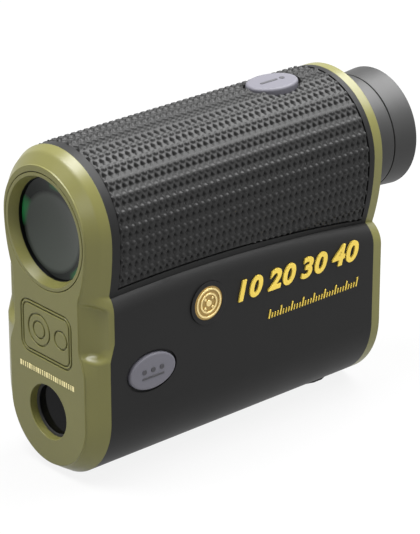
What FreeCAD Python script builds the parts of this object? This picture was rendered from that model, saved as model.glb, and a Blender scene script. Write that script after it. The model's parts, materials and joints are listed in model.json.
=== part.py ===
"""Handheld laser rangefinder: a 6 x 22 monocular with a laser under it, as separate pieces.

Axes: X across the body (+X is the side with the mode button), Y from the objective (-Y) to the eyecup (+Y),
Z up. The origin lies on the flat base, at the middle of the length. Sizes are in millimetres.
"""

import FreeCAD, Part

import math
import os

# Overall sizes
body_length = 82.3            # front face to the back face of the rear bezel
eyepiece_reach = 14.7         # back face of the rear bezel to the lip of the eyecup
body_height = 73.9            # base flat to the crest of the grip
upper_radius = 17.3           # round top of the body
lower_half_width = 17.65      # straight sides of the battery and laser half
base_flat_half_width = 4.0    # flat strip that the body stands on

# Body outline
side_radius = 51.0            # slightly bowed cheeks under the round top
waist_drop = 11.6             # centre of the round top down to the waist
shoulder_radius = 5.0         # rounded shoulder of the lower half, under the waist
shoulder_rise = 3.8           # waist above the centre of the shoulder's arc
shoulder_end_deg = 85.0       # the shoulder's arc ends this far round
shoulder_bow = 0.42           # the bezel's shoulder bows out most at this share of its rise
shoulder_bow_deg = 26.0
skirt_drop = 11.0             # the upper outline reaches this far under the waist, inside the lower half
seam_radius = 320.0           # seam between the upper and lower shell, seen from the side
seam_apex_setback = 23.5      # front face to the highest point of the seam

# Shells and grip
upper_wall = 2.6              # upper shell with its grip
lower_wall = 1.8
plate_thickness = 1.8         # front and rear plates of the chassis
grip_thickness = 1.2
grip_front_margin = 2.2       # smooth rim of the upper shell in front of the grip
grip_rear_margin = 1.5
grip_seam_margin = 1.5
groove_gap = 0.15             # narrow groove around the grip
bond_gap = 0.03               # bonding layer under the grip
cavity_clearance = 0.15       # chassis to the inside of the shells
shelf_side_gap = 0.3          # shelf to the cheeks of the upper shell
seat_gap = 0.05               # pieces that lie on each other without load

# Bezels
front_bezel_depth = 4.5
lower_joint_step = 1.2        # the lower half of the front joint lies this much further forward
joint_step_top = 14.2         # top of that step, below the waist's apex height
joint_step_height = 4.0
rear_bezel_depth = 2.4
spigot_length = 1.0           # rim of a bezel that reaches into the shells
crease_depth = 2.5            # front face back to the crease of the upper chamfer
crease_radius = 16.0
crease_shoulder_inset = 0.7   # the crease's shoulder and sides inside that radius
crease_side_inset = 0.5
face_radius = 13.7            # flat front face around the objective
face_lift = 0.2               # its centre above the centre of the round top
face_side_radius = 35.0
face_half_width = 12.8        # flat front face around the laser aperture
face_shoulder_inset = 0.6
face_bottom = 1.7             # lowest point of the front face
lower_crease_depth = 1.7
lower_crease_half_width = 15.4
lower_crease_bottom = 0.5
bottom_strip = 0.1            # round bottoms of the bezel stop this short of a full arc
pocket_half_width = 11.0      # finger scoops beside the name plate: face edge of the scoop
pocket_outer = 16.9
pocket_depth = 3.6
pocket_height = 13.5
pocket_centre_drop = 8.3      # waist's apex height down to the middle of the scoop
pocket_corner = 3.5

# Objective
objective_drop = 0.7          # optical axis below the centre of the round top
objective_bore = 13.0         # bore of the front bezel
ring_depth = 2.3
ring_mouth = 12.2
ring_throat = 11.4
objective_glass = 11.65       # radius of both glasses
objective_lip = 11.2          # clear radius in front of the glass
lip_depth = 2.4
crown_edge = 1.6
crown_front_curve = 50.0
cement_curve = 45.0
flint_edge = 3.2
flint_back_curve = 150.0
lens_retainer_length = 1.6
lens_retainer_bore = 10.6
objective_tube_length = 24.0
round_clearance = 0.05        # radial gap of round pieces that are pushed into bores
running_clearance = 0.06      # radial gap of pieces that turn or slide
glass_gap = 0.02              # lens edge to its seat
glass_seat = 1.1              # flat rim of each glass

# Prisms, receiver and display
shelf_thickness = 1.5
prism_size = 12.5
prism_stretch = 1.24          # length of the prism pair, as a share of the prism's size
prism_slope = 0.42            # run of the slanted faces, as a share of the prism's size
receiver_place = 0.36         # receiver behind the prism's front, as a share of the prism's size
prism_air_gap = 0.3
prism_wall = 2.0
prism_setback = 41.0          # front face to the front of the prism housing
light_bore = 5.2
receiver_radius = 2.7
receiver_gap = 0.2            # receiver's can under the splitter prism
receiver_board_half = 5.5
board_thickness = 0.8
display_half = 5.0
display_lip = 0.6             # frame over the rim of the panel
display_thickness = 1.1
display_frame_length = 3.0
barrel_front_reach = 2.0      # eyepiece housing in front of the chassis's rear plate

# Laser
laser_height = 13.9           # laser axis above the base
aperture_radius = 6.2
window_setback = 1.9
window_radius = 7.3
window_thickness = 1.1
gasket_thickness = 0.3
gasket_bore = 5.7
laser_tube_wall = 1.0
laser_tube_length = 34.0
collimator_radius = 6.2
collimator_edge = 1.5
collimator_curve = 16.0
collimator_setback = 4.5
laser_can_radius = 2.8
laser_can_length = 3.6
laser_can_proud = 0.8         # can behind the end of its tube
laser_can_step = 0.6
laser_lens_step = 0.9
laser_pin_radius = 0.25
laser_pin_offset = 1.0
laser_pin_length = 3.0
laser_pin_turns = (90.0, 210.0, 330.0)
laser_pin_sink = 0.6          # root of the pins inside the can
laser_board_gap = 0.4
laser_board_half = 6.0

# Battery and its door
battery_radius = 7.8          # CR2 cell
battery_length = 27.0
battery_nub_radius = 3.2
battery_nub_height = 0.8
battery_floor_gap = 5.6       # battery tube above the inside of the lower shell's floor
battery_clearance = 0.3
battery_end_gap = 0.1
battery_tube_wall = 0.9
spring_wire = 0.35
spring_height = 2.4
spring_turns = 2.5
door_half_width = 10.0
door_side_gap = 0.2
door_top_reach = 5.4          # door above the battery tube
door_thickness = 2.0
door_corner = 2.0
door_edge = 0.5
door_knuckle_gap = 0.4        # hinge knuckle to the door's lower edge
door_inset = 1.35             # door's inner face in front of the bezel's back face
hinge_knuckle = 1.3
hinge_pin_radius = 0.6
hinge_height = 5.6
hinge_half_width = 8.6
hinge_inset = 0.1             # hinge line in front of the bezel's back face
hinge_room = 0.2              # free space around the knuckles
door_knuckle_half_width = 5.6
knuckle_end_gap = 0.15
contact_radius = 4.0
contact_thickness = 0.3
door_gasket_thickness = 0.4
gasket_width = 0.9
finger_radius = 4.2           # finger notch above the door
finger_depth = 1.6

# Eyepiece
neck_radius_front = 13.1
neck_radius_rear = 13.36
neck_length = 7.7             # rear bezel to the seam with the eyecup
barrel_radius = 11.3
barrel_wall = 1.0
barrel_end_inset = 3.0        # end of the fixed barrel in front of the eyecup's lip
sleeve_wall = 1.1
barrel_tail_step = 1.0        # tail of the housing, in the bezel and chassis, over the barrel
sleeve_end_inset = 1.9
eyecup_radius_front = 13.4
eyecup_radius_rear = 13.9
eyecup_seam_gap = 0.3
eyecup_lip_wall = 1.4
eyecup_edge = 0.5             # chamfers of the lip
eyecup_step = 0.3
neck_floor = 0.9              # rear bezel's back face to the bottom of the neck's annular groove
dioptre_seal_thickness = 0.5
cam_pin_radius = 0.6
cam_pin_setback = 4.2         # rear bezel's back face to the cam pin
cam_travel = 1.2              # travel of the ocular cell each way
cam_half_turn_deg = 90.0      # turn of the dioptre ring each way
cam_groove_depth = 0.75
cam_end_gap = 0.1             # pin to the ends of its slot and to the groove's floor
cam_spare_deg = 8.0           # groove past each end of the turn
cell_wall = 0.9
cell_length = 11.5
cell_lip = 0.8                # lip of the cell behind the eye lens
cell_lip_wall = 0.7
cell_front_setback = 0.6      # rear bezel's back face to the front of the cell
eye_glass_curve = 18.0
field_glass_curve = 22.0
eye_glass_edge = 1.4
field_glass_edge = 1.6
ocular_spacer_length = 2.2
ocular_retainer_length = 1.2
trap_ring_thickness = 0.8
trap_groove = 0.3
trap_share = 0.6              # share of the sleeve's wall that the trap ring stands in

# Buttons
power_setback = 64.5          # front face to the middle of the power button
power_half_width = 4.8
power_half_length = 6.6
power_proud = 0.4
mode_setback = 14.5
mode_height = 25.6
mode_half_length = 6.3
mode_half_height = 4.05
mode_proud = 0.5
button_moat = 0.6
button_gap = 0.12
button_flange = 0.8
button_flange_thickness = 0.6
power_edge = 0.6              # rounded rims of the buttons
mode_edge = 0.4
power_travel = 0.8
mode_travel = 0.7
switch_half = 2.6
switch_height = 1.5
switch_gap = 0.1
switch_tip_height = 0.5
mode_board_rear = 3.0         # mode board past the button, to the rear, down and up
mode_board_below = 8.0
mode_board_above = 8.5
stem_radius = 1.6
power_board_half_width = 8.5
power_post_radius = 1.2
power_post_offset = 8.8       # posts of the upper shell that carry the power board
seal_thickness = 0.5

# Electronics
main_board_offset = 11.0
main_board_length = 52.0
main_board_setback = 10.5
main_board_height = 30.0
chip_height = 1.1

# Badge, foot, screws and lanyard bar
badge_setback = 30.3
badge_drop = 8.3              # badge below the waist's apex height
badge_radius = 3.9
badge_ring_radius = 4.9
badge_seat_depth = 0.4
badge_proud = 0.2
badge_ring_proud = 0.3
foot_front_setback = 66.2
foot_crest_setback = 72.5
foot_crest_length = 2.5
foot_end_half_width = 4.7
foot_crest_half_width = 6.7
screw_head_radius = 1.7
screw_head_height = 1.1
screw_shaft_radius = 0.8
screw_shaft_length = 3.2
screw_socket_radius = 0.75
screw_socket_depth = 0.6
screw_clearance = 0.1
screw_thread_gap = 0.02
screw_end_gap = 0.2
front_screw_length = 2.6
upper_screw_inset = 4.75      # screw axes inside the lower half's side
lower_screw_inset = 5.4
upper_screw_drop = 3.4        # below the seam at the rear joint
lower_screw_height = 11.0
lanyard_bar_radius = 0.75
lanyard_slot_height = 7.0
lanyard_slot_width = 3.0
lanyard_slot_depth = 1.7
lanyard_inset = 2.9
lanyard_height = 21.0
lanyard_bar_inset = 0.1
lanyard_bar_seat = 1.5        # ends of the bar in the bezel
foot_depth = 1.0              # foot's walls run this far into the shell's floor

# Places worked out from the sizes above
front_y = -(body_length + eyepiece_reach) / 2.0
rear_y = front_y + body_length
lip_y = rear_y + eyepiece_reach
front_joint_y = front_y + front_bezel_depth
lower_joint_y = front_joint_y - lower_joint_step
rear_joint_y = rear_y - rear_bezel_depth
front_plate_y = front_joint_y + spigot_length
rear_plate_y = rear_joint_y - spigot_length
round_top_z = body_height - upper_radius
waist_z = round_top_z - waist_drop
lower_arc_z = math.sqrt(lower_half_width ** 2 - base_flat_half_width ** 2)
skirt_z = waist_z - skirt_drop
axis_z = round_top_z - objective_drop
seam_apex_y = front_y + seam_apex_setback
objective_tube_radius = objective_bore - round_clearance
shelf_top_z = axis_z - objective_bore
shelf_bottom_z = shelf_top_z - shelf_thickness
battery_tube_inner = battery_radius + battery_clearance
battery_tube_radius = battery_tube_inner + battery_tube_wall
battery_z = lower_wall + battery_floor_gap + battery_tube_radius
hinge_y = rear_y - hinge_inset
door_bottom_z = hinge_height + hinge_knuckle + door_knuckle_gap
door_top_z = battery_z + battery_tube_radius + door_top_reach
door_inner_y = rear_y - door_inset
door_seat_y = door_inner_y - seat_gap
barrel_tail_radius = barrel_radius + barrel_tail_step
FAR = 200.0                   # longer than the whole object, for cutting solids


def at(x, y, z):
    """A point."""
    return FreeCAD.Vector(x, y, z)


def block(x0, x1, y0, y1, z0, z1):
    """A box between two corners."""
    return Part.makeBox(x1 - x0, y1 - y0, z1 - z0, at(x0, y0, z0))


def rod_y(radius, y0, y1, z, x=0.0):
    """A cylinder along Y."""
    return Part.makeCylinder(radius, y1 - y0, at(x, y0, z), at(0, 1, 0))


def ring_y(outer, inner, y0, y1, z, x=0.0):
    """A tube along Y."""
    return rod_y(outer, y0, y1, z, x).cut(rod_y(inner, y0 - 1, y1 + 1, z, x))


def turned(profile, z):
    """A solid turned about the Y axis line at height z, from (y, radius) points."""
    wire = Part.makePolygon([at(0, y, z + r) for y, r in profile + profile[:1]])
    return Part.Face(wire).revolve(at(0, 0, z), at(0, 1, 0), 360)


def arc(a, b, c):
    """A circular edge through three points."""
    return Part.Arc(a, b, c).toShape()


def line(a, b):
    """A straight edge."""
    return Part.LineSegment(a, b).toShape()


def oval(half_a, half_b, centre, normal, long_dir, depth):
    """An elliptic prism: half_a lies along long_dir."""
    across = normal.cross(long_dir)
    major, minor, main_dir, other_dir = half_a, half_b, long_dir, across
    if half_b > half_a:
        major, minor, main_dir, other_dir = half_b, half_a, across, long_dir
    ellipse = Part.Ellipse(centre + main_dir * major, centre + other_dir * minor, centre)
    return Part.Face(Part.Wire(ellipse.toShape())).extrude(normal * depth)


def lens(radius, y_front, edge, front_curve, back_curve, z):
    """A round glass along Y with flat seats at its rim. A positive curve bulges towards -Y, zero is flat."""
    clear = radius - glass_seat
    glass = rod_y(radius, y_front, y_front + edge, z)
    for y_edge, curve, outward in ((y_front, front_curve, -1), (y_front + edge, back_curve, 1)):
        if not curve:
            continue
        centre_y = y_edge + math.copysign(math.sqrt(curve ** 2 - clear ** 2), curve)
        ball = Part.makeSphere(abs(curve), at(0, centre_y, z))
        if curve * outward > 0:
            glass = glass.cut(ball)
        else:
            far_y = y_edge + outward * radius
            glass = glass.fuse(ball.common(rod_y(clear, min(y_edge, far_y), max(y_edge, far_y), z)))
    return glass.removeSplitter()


# ---------------------------------------------------------------- outlines of the body

def upper_outline(y, inset=0.0):
    """Closed wire of the upper half: round top, bowed cheeks, straight across at the skirt."""
    radius = upper_radius - inset
    cheek = side_radius - inset
    cheek_x = upper_radius - side_radius

    def cheek_point(z):
        return cheek_x + math.sqrt(cheek ** 2 - (round_top_z - z) ** 2)

    middle_z = (round_top_z + skirt_z) / 2.0
    low_x, mid_x = cheek_point(skirt_z), cheek_point(middle_z)
    return Part.Wire([
        arc(at(radius, y, round_top_z), at(0, y, round_top_z + radius), at(-radius, y, round_top_z)),
        arc(at(-radius, y, round_top_z), at(-mid_x, y, middle_z), at(-low_x, y, skirt_z)),
        line(at(-low_x, y, skirt_z), at(low_x, y, skirt_z)),
        arc(at(low_x, y, skirt_z), at(mid_x, y, middle_z), at(radius, y, round_top_z)),
    ])


def u_outline(y, half_width, arc_z, bottom_z, top_z):
    """Closed wire of a U: straight sides, a round bottom with a flat strip, straight across the top."""
    start = math.atan2(arc_z - bottom_z, math.sqrt(half_width ** 2 - (arc_z - bottom_z) ** 2))
    flat_x = half_width * math.cos(start)
    mid_x = half_width * math.cos(start / 2.0)
    mid_z = arc_z - half_width * math.sin(start / 2.0)
    return Part.Wire([
        line(at(half_width, y, arc_z), at(half_width, y, top_z)),
        line(at(half_width, y, top_z), at(-half_width, y, top_z)),
        line(at(-half_width, y, top_z), at(-half_width, y, arc_z)),
        arc(at(-half_width, y, arc_z), at(-mid_x, y, mid_z), at(-flat_x, y, bottom_z)),
        line(at(-flat_x, y, bottom_z), at(flat_x, y, bottom_z)),
        arc(at(flat_x, y, bottom_z), at(mid_x, y, mid_z), at(half_width, y, arc_z)),
    ])


def prism_y(wire, length):
    """The solid that a wire sweeps along +Y."""
    return Part.Face(wire).extrude(at(0, length, 0))


def below_seam(offset=0.0):
    """The space under the curved seam, raised by offset."""
    return Part.makeCylinder(seam_radius + offset, 2 * FAR, at(-FAR, seam_apex_y, waist_z - seam_radius),
                             at(1, 0, 0))


def shoulder_space(inset=0.0):
    """The space that the lower half may fill under its rounded shoulders, which follow the seam."""
    radius = shoulder_radius - inset
    centre_x = lower_half_width - shoulder_radius
    centre_z = waist_z - shoulder_rise
    side_x = centre_x + radius
    floor_z = -30.0
    top_angle = math.radians(shoulder_end_deg)
    top_x, top_z = centre_x + radius * math.cos(top_angle), centre_z + radius * math.sin(top_angle)
    mid_x = centre_x + radius * math.cos(top_angle / 2.0)
    mid_z = centre_z + radius * math.sin(top_angle / 2.0)
    y = seam_apex_y
    section = Part.Wire([
        line(at(-side_x, y, floor_z), at(side_x, y, floor_z)),
        line(at(side_x, y, floor_z), at(side_x, y, centre_z)),
        arc(at(side_x, y, centre_z), at(mid_x, y, mid_z), at(top_x, y, top_z)),
        line(at(top_x, y, top_z), at(-top_x, y, top_z)),
        arc(at(-top_x, y, top_z), at(-mid_x, y, mid_z), at(-side_x, y, centre_z)),
        line(at(-side_x, y, centre_z), at(-side_x, y, floor_z)),
    ])
    sweep = math.degrees(math.asin((body_length + eyepiece_reach) / seam_radius))
    face = Part.Face(section)
    pivot = at(0, seam_apex_y, waist_z - seam_radius)
    face.rotate(pivot, at(1, 0, 0), -sweep)
    return face.revolve(pivot, at(1, 0, 0), 2 * sweep)


def seam_height(y):
    """Height of the seam at a place along the body."""
    return waist_z - seam_radius + math.sqrt(seam_radius ** 2 - (y - seam_apex_y) ** 2)


def upper_half(y0, y1, inset=0.0):
    """Upper half of the body between two Y planes, down to the skirt."""
    return prism_y(upper_outline(y0, inset), y1 - y0)


def lower_half(y0, y1, inset=0.0):
    """Lower half of the body between two Y planes, under its shoulders."""
    wire = u_outline(y0, lower_half_width - inset, lower_arc_z, inset, waist_z + shoulder_radius)
    return prism_y(wire, y1 - y0).common(shoulder_space(inset))


def front_of_joint():
    """The space in front of the stepped joint between the front bezel and the shells."""
    step_top_z = waist_z - joint_step_top + joint_step_height
    points = [
        (front_y - 1, -1), (lower_joint_y, -1), (lower_joint_y, step_top_z - joint_step_height),
        (front_joint_y, step_top_z), (front_joint_y, body_height + 1), (front_y - 1, body_height + 1),
    ]
    wire = Part.makePolygon([at(-FAR, y, z) for y, z in points + points[:1]])
    return Part.Face(wire).extrude(at(2 * FAR, 0, 0))


def cavity(y0, y1, gap):
    """The inside of the shells between two Y planes, less a gap."""
    upper = upper_half(y0, y1, upper_wall + gap)
    return upper.fuse(lower_half(y0, y1, lower_wall + gap)).removeSplitter()


# ---------------------------------------------------------------- shells and bezels

def make_shells():
    """Upper shell, its grip panel, and the lower shell with its foot."""
    outer_upper = upper_half(front_joint_y, rear_joint_y).cut(below_seam())
    upper_shell = outer_upper.cut(upper_half(front_joint_y - 1, rear_joint_y + 1, upper_wall))

    recess_y0 = front_joint_y + grip_front_margin
    recess_y1 = rear_joint_y - grip_rear_margin
    recess = grip_band(recess_y0, recess_y1, grip_seam_margin, grip_thickness)
    grip = grip_band(recess_y0 + groove_gap, recess_y1 - groove_gap, grip_seam_margin + groove_gap,
                     grip_thickness - bond_gap)
    for side in (1, -1):
        post_y = power_centre_y() + side * power_post_offset
        post = Part.makeCylinder(power_post_radius, body_height - grip_thickness - power_board_top_z(),
                                 at(0, post_y, power_board_top_z()))
        upper_shell = upper_shell.fuse(post)
    upper_shell = upper_shell.cut(recess).cut(power_oval(button_gap))
    grip = grip.cut(power_oval(button_moat))

    lower = lower_half(lower_joint_y, rear_joint_y).fuse(foot())
    lower = lower.cut(lower_half(lower_joint_y - 1, rear_joint_y + 1, lower_wall))
    lower = lower.cut(upper_half(lower_joint_y - 1, rear_joint_y + 1, upper_wall))
    lower = lower.cut(outer_upper).cut(front_of_joint())
    lower = lower.cut(mode_oval(button_gap)).cut(mode_moat()).cut(badge_seat())
    return {"upper_shell": upper_shell, "grip_panel": grip, "lower_shell": lower}


def grip_band(y0, y1, seam_margin, thickness):
    """The outer layer of the upper half between two Y planes, down to a margin above the seam."""
    layer = upper_half(y0, y1).cut(upper_half(y0 - 1, y1 + 1, thickness))
    return layer.cut(below_seam(seam_margin))


def foot():
    """Foot ridge under the rear: a flat pad whose walls run up into the round bottom."""
    y0 = front_y + foot_front_setback
    y1 = front_y + foot_crest_setback
    points = [
        (-foot_end_half_width, y0), (foot_end_half_width, y0), (foot_crest_half_width, y1),
        (foot_crest_half_width, y1 + foot_crest_length), (foot_end_half_width, rear_joint_y),
        (-foot_end_half_width, rear_joint_y), (-foot_crest_half_width, y1 + foot_crest_length),
        (-foot_crest_half_width, y1),
    ]
    wire = Part.makePolygon([at(x, y, 0) for x, y in points + points[:1]])
    return Part.Face(wire).extrude(at(0, 0, lower_wall + foot_depth))


def screw_places():
    """X and Z of the four bezel screws."""
    upper_x = lower_half_width - upper_screw_inset
    lower_x = lower_half_width - lower_screw_inset
    upper_z = seam_height(rear_joint_y) - upper_screw_drop
    return [(upper_x, upper_z), (-upper_x, upper_z), (lower_x, lower_screw_height),
            (-lower_x, lower_screw_height)]


def upper_bezel_wire(y, radius, centre_z, cheek, shoulder_x, foot_x):
    """Section of the front bezel's upper half."""
    cheek_x = radius - cheek
    waist_x = cheek_x + math.sqrt(cheek ** 2 - (centre_z - waist_z) ** 2)
    middle_z = (centre_z + waist_z) / 2.0
    mid_x = cheek_x + math.sqrt(cheek ** 2 - (centre_z - middle_z) ** 2)
    shoulder_z = waist_z - shoulder_rise
    low_z = waist_z - joint_step_top - joint_step_height
    right = [
        arc(at(radius, y, centre_z), at(mid_x, y, middle_z), at(waist_x, y, waist_z)),
        arc(at(waist_x, y, waist_z), at(shoulder_x, y, waist_z - shoulder_rise * shoulder_bow),
            at(foot_x, y, shoulder_z)),
        line(at(foot_x, y, shoulder_z), at(foot_x, y, low_z)),
    ]
    left = [
        line(at(-foot_x, y, low_z), at(-foot_x, y, shoulder_z)),
        arc(at(-foot_x, y, shoulder_z), at(-shoulder_x, y, waist_z - shoulder_rise * shoulder_bow),
            at(-waist_x, y, waist_z)),
        arc(at(-waist_x, y, waist_z), at(-mid_x, y, middle_z), at(-radius, y, centre_z)),
    ]
    crown = arc(at(-radius, y, centre_z), at(0, y, centre_z + radius), at(radius, y, centre_z))
    return Part.Wire(right + [line(at(foot_x, y, low_z), at(-foot_x, y, low_z))] + left + [crown])


def make_front_bezel():
    """Olive front bezel: chamfered face, finger scoops, objective bore and laser aperture."""
    face_centre_z = round_top_z + face_lift
    crease_y = front_y + crease_depth
    shoulder_x = lower_half_width - shoulder_radius * (1 - math.cos(math.radians(shoulder_bow_deg)))
    sections = [
        upper_bezel_wire(front_joint_y, upper_radius, round_top_z, side_radius, shoulder_x,
                         lower_half_width),
        upper_bezel_wire(crease_y, crease_radius, face_centre_z, side_radius,
                         crease_radius - crease_shoulder_inset, crease_radius - crease_side_inset),
        upper_bezel_wire(front_y, face_radius, face_centre_z, face_side_radius,
                         face_half_width - face_shoulder_inset, face_half_width),
    ]
    upper = Part.makeLoft(sections, True, True)

    low_crease_y = front_y + lower_crease_depth
    top_z = waist_z - joint_step_top + joint_step_height
    lower = Part.makeLoft([
        u_outline(lower_joint_y, lower_half_width, lower_arc_z, 0.0, top_z),
        u_outline(low_crease_y, lower_crease_half_width,
                  lower_crease_bottom + lower_crease_half_width - bottom_strip, lower_crease_bottom, top_z),
        u_outline(front_y, face_half_width, face_bottom + face_half_width - bottom_strip, face_bottom,
                  top_z),
    ], True, True)
    straight = prism_y(u_outline(lower_joint_y, lower_half_width, lower_arc_z, 0.0, top_z),
                       lower_joint_step)
    upper = upper.cut(block(-FAR, FAR, -FAR, FAR, -1, top_z - joint_step_height))
    bezel = upper.fuse(lower).fuse(straight).common(front_of_joint())
    bezel = bezel.cut(scoop(1)).cut(scoop(-1))
    bezel = bezel.fuse(cavity(lower_joint_y - 0.5, front_plate_y, cavity_clearance))
    bezel = bezel.cut(rod_y(objective_bore, front_y - 1, front_plate_y + 1, axis_z))
    bezel = bezel.cut(rod_y(aperture_radius, front_y - 1, front_plate_y + 1, laser_height))
    seat_y = front_y + window_setback
    bezel = bezel.cut(rod_y(window_radius + round_clearance, seat_y, front_plate_y + 1, laser_height))
    for x, z in screw_places():
        hole_y = front_plate_y - front_screw_length + plate_thickness - screw_end_gap
        bezel = bezel.cut(rod_y(screw_shaft_radius, hole_y, front_plate_y + 1, z, x))
    return bezel.removeSplitter()


def scoop(side):
    """Tool that carves one finger scoop beside the name plate."""
    centre_z = waist_z - pocket_centre_drop
    run = pocket_outer - pocket_half_width
    slope = math.hypot(run, pocket_depth)
    tool = block(0, slope + 6, -20, 0, -pocket_height / 2.0, pocket_height / 2.0)
    edges = [e for e in tool.Edges
             if abs(e.Vertexes[0].Y) < 1e-6 and abs(e.Vertexes[1].Y) < 1e-6
             and abs(e.Vertexes[0].Z - e.Vertexes[1].Z) < 1e-6]
    tool = tool.makeFillet(pocket_corner, edges)
    tool.rotate(at(0, 0, 0), at(0, 0, 1), math.degrees(math.atan2(pocket_depth, run)))
    tool.translate(at(pocket_half_width, front_y, centre_z))
    return tool if side > 0 else tool.mirror(at(0, 0, 0), at(1, 0, 0))


def make_rear_bezel():
    """Olive rear bezel: eyepiece hole, battery door recess, hinge ears and lanyard slot."""
    outer = upper_half(rear_joint_y, rear_y).cut(below_seam())
    bezel = outer.fuse(lower_half(rear_joint_y, rear_y)).fuse(foot_end())
    bezel = bezel.fuse(cavity(rear_plate_y, rear_joint_y + 0.5, cavity_clearance))
    bezel = bezel.cut(rod_y(barrel_tail_radius + round_clearance, rear_plate_y - 1, rear_y + 1, axis_z))
    bezel = bezel.cut(rod_y(battery_tube_radius + round_clearance, rear_plate_y - 1, rear_y + 1,
                            battery_z))
    reach = door_half_width + door_side_gap
    bezel = bezel.cut(block(-reach, reach, door_seat_y, rear_y + 1,
                            door_bottom_z - door_side_gap, door_top_z + door_side_gap))
    notch_y = rear_y + finger_radius - finger_depth
    bezel = bezel.cut(Part.makeSphere(finger_radius, at(0, notch_y, door_top_z)))
    bezel = bezel.cut(rod_y(battery_tube_radius + gasket_width + bond_gap,
                            door_seat_y - door_gasket_thickness, rear_y, battery_z))
    hinge_gap = hinge_knuckle + hinge_room
    bezel = bezel.cut(block(-hinge_half_width, hinge_half_width, hinge_y - hinge_gap, rear_y + 1,
                            hinge_height - hinge_gap, door_bottom_z))
    for side in (1, -1):
        near = door_knuckle_half_width + knuckle_end_gap
        start_x = near if side > 0 else -hinge_half_width
        ear = Part.makeCylinder(hinge_knuckle, hinge_half_width - near,
                                at(start_x, hinge_y, hinge_height), at(1, 0, 0))
        web = block(start_x, start_x + hinge_half_width - near, hinge_y - hinge_gap, hinge_y,
                    hinge_height - hinge_gap, hinge_height)
        bezel = bezel.fuse(ear).fuse(web)
    bezel = bezel.cut(hinge_rod(hinge_pin_radius))
    for x, z in screw_places():
        bezel = bezel.cut(rod_y(screw_shaft_radius + screw_clearance, rear_plate_y - 1, rear_y + 1, z, x))
        bezel = bezel.cut(rod_y(screw_head_radius + screw_clearance, rear_y - screw_head_height, rear_y + 1,
                                z, x))
    bezel = bezel.cut(lanyard_slot()).cut(lanyard_rod())
    return bezel.removeSplitter()


def foot_end():
    """The foot ridge's last stretch, on the rear bezel."""
    return block(-foot_end_half_width, foot_end_half_width, rear_joint_y, rear_y, 0, lower_wall + foot_depth)


def hinge_rod(radius):
    """The battery door's hinge line as a rod."""
    return Part.makeCylinder(radius, 2 * hinge_half_width, at(-hinge_half_width, hinge_y, hinge_height),
                             at(1, 0, 0))


def lanyard_slot():
    """Pocket in the rear bezel that a lanyard cord passes through, behind the bar."""
    x = -(lower_half_width - lanyard_inset)
    half = lanyard_slot_height / 2.0
    return block(x - lanyard_slot_width / 2.0, x + lanyard_slot_width / 2.0, rear_y - lanyard_slot_depth,
                 rear_y + 1, lanyard_height - half, lanyard_height + half)


def lanyard_rod():
    """The bar across the lanyard slot, with its ends in the bezel."""
    x = -(lower_half_width - lanyard_inset)
    length = lanyard_slot_height + 2 * lanyard_bar_seat
    return Part.makeCylinder(lanyard_bar_radius, length,
                             at(x, rear_y - lanyard_bar_radius - lanyard_bar_inset,
                                lanyard_height - length / 2.0))


def screws(y_seat, direction, shaft_length):
    """Four equal screws whose heads bear on y_seat, with shafts towards direction along Y."""
    solids = []
    for x, z in screw_places():
        head = Part.makeCylinder(screw_head_radius, screw_head_height, at(x, y_seat, z),
                                 at(0, -direction, 0))
        shaft = Part.makeCylinder(screw_shaft_radius - screw_thread_gap, shaft_length, at(x, y_seat, z),
                                  at(0, direction, 0))
        top_y = y_seat - direction * screw_head_height
        socket = Part.makeCylinder(screw_socket_radius, screw_socket_depth, at(x, top_y, z),
                                   at(0, direction, 0))
        solids.append(head.fuse(shaft).cut(socket).removeSplitter())
    return Part.makeCompound(solids)


# ---------------------------------------------------------------- chassis

def make_chassis():
    """Inner frame: front plate, shelf and rear plate in one piece."""
    plates = cavity(front_plate_y, front_plate_y + plate_thickness, cavity_clearance)
    plates = plates.cut(rod_y(objective_bore, front_y, 0, axis_z))
    plates = plates.cut(rod_y(laser_tube_radius() + round_clearance, front_y, 0, laser_height))
    rear_plate = cavity(rear_plate_y - plate_thickness, rear_plate_y, cavity_clearance)
    rear_plate = rear_plate.cut(rod_y(barrel_tail_radius + round_clearance, 0, rear_y, axis_z))
    rear_plate = rear_plate.cut(rod_y(battery_tube_radius + round_clearance, 0, rear_y, battery_z))
    half_width = shelf_half_width()
    shelf = block(-half_width, half_width, front_plate_y, rear_plate_y, shelf_bottom_z, shelf_top_z)
    chassis = plates.fuse(shelf).fuse(rear_plate)
    chassis = chassis.cut(rod_y(objective_bore, front_y, front_y + objective_tube_length + 6, axis_z))
    chassis = chassis.cut(rod_y(barrel_tail_radius + round_clearance, rear_plate_y - plate_thickness - 1,
                                rear_y, axis_z))
    chassis = chassis.cut(Part.makeCylinder(receiver_radius + round_clearance, 10,
                                            at(0, receiver_y(), shelf_bottom_z - 5)))
    for x, z in screw_places():
        chassis = chassis.cut(rod_y(screw_shaft_radius + round_clearance, front_y, front_plate_y + 5, z, x))
        chassis = chassis.cut(rod_y(screw_shaft_radius, rear_plate_y - 5, rear_y, z, x))
    return chassis.removeSplitter()


def shelf_half_width():
    """Half the shelf's width: it clears the cheeks of the upper shell at the rear."""
    cheek = side_radius - upper_wall
    reach = math.sqrt(cheek ** 2 - (round_top_z - shelf_bottom_z) ** 2)
    return upper_radius - side_radius + reach - shelf_side_gap


# ---------------------------------------------------------------- objective

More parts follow.
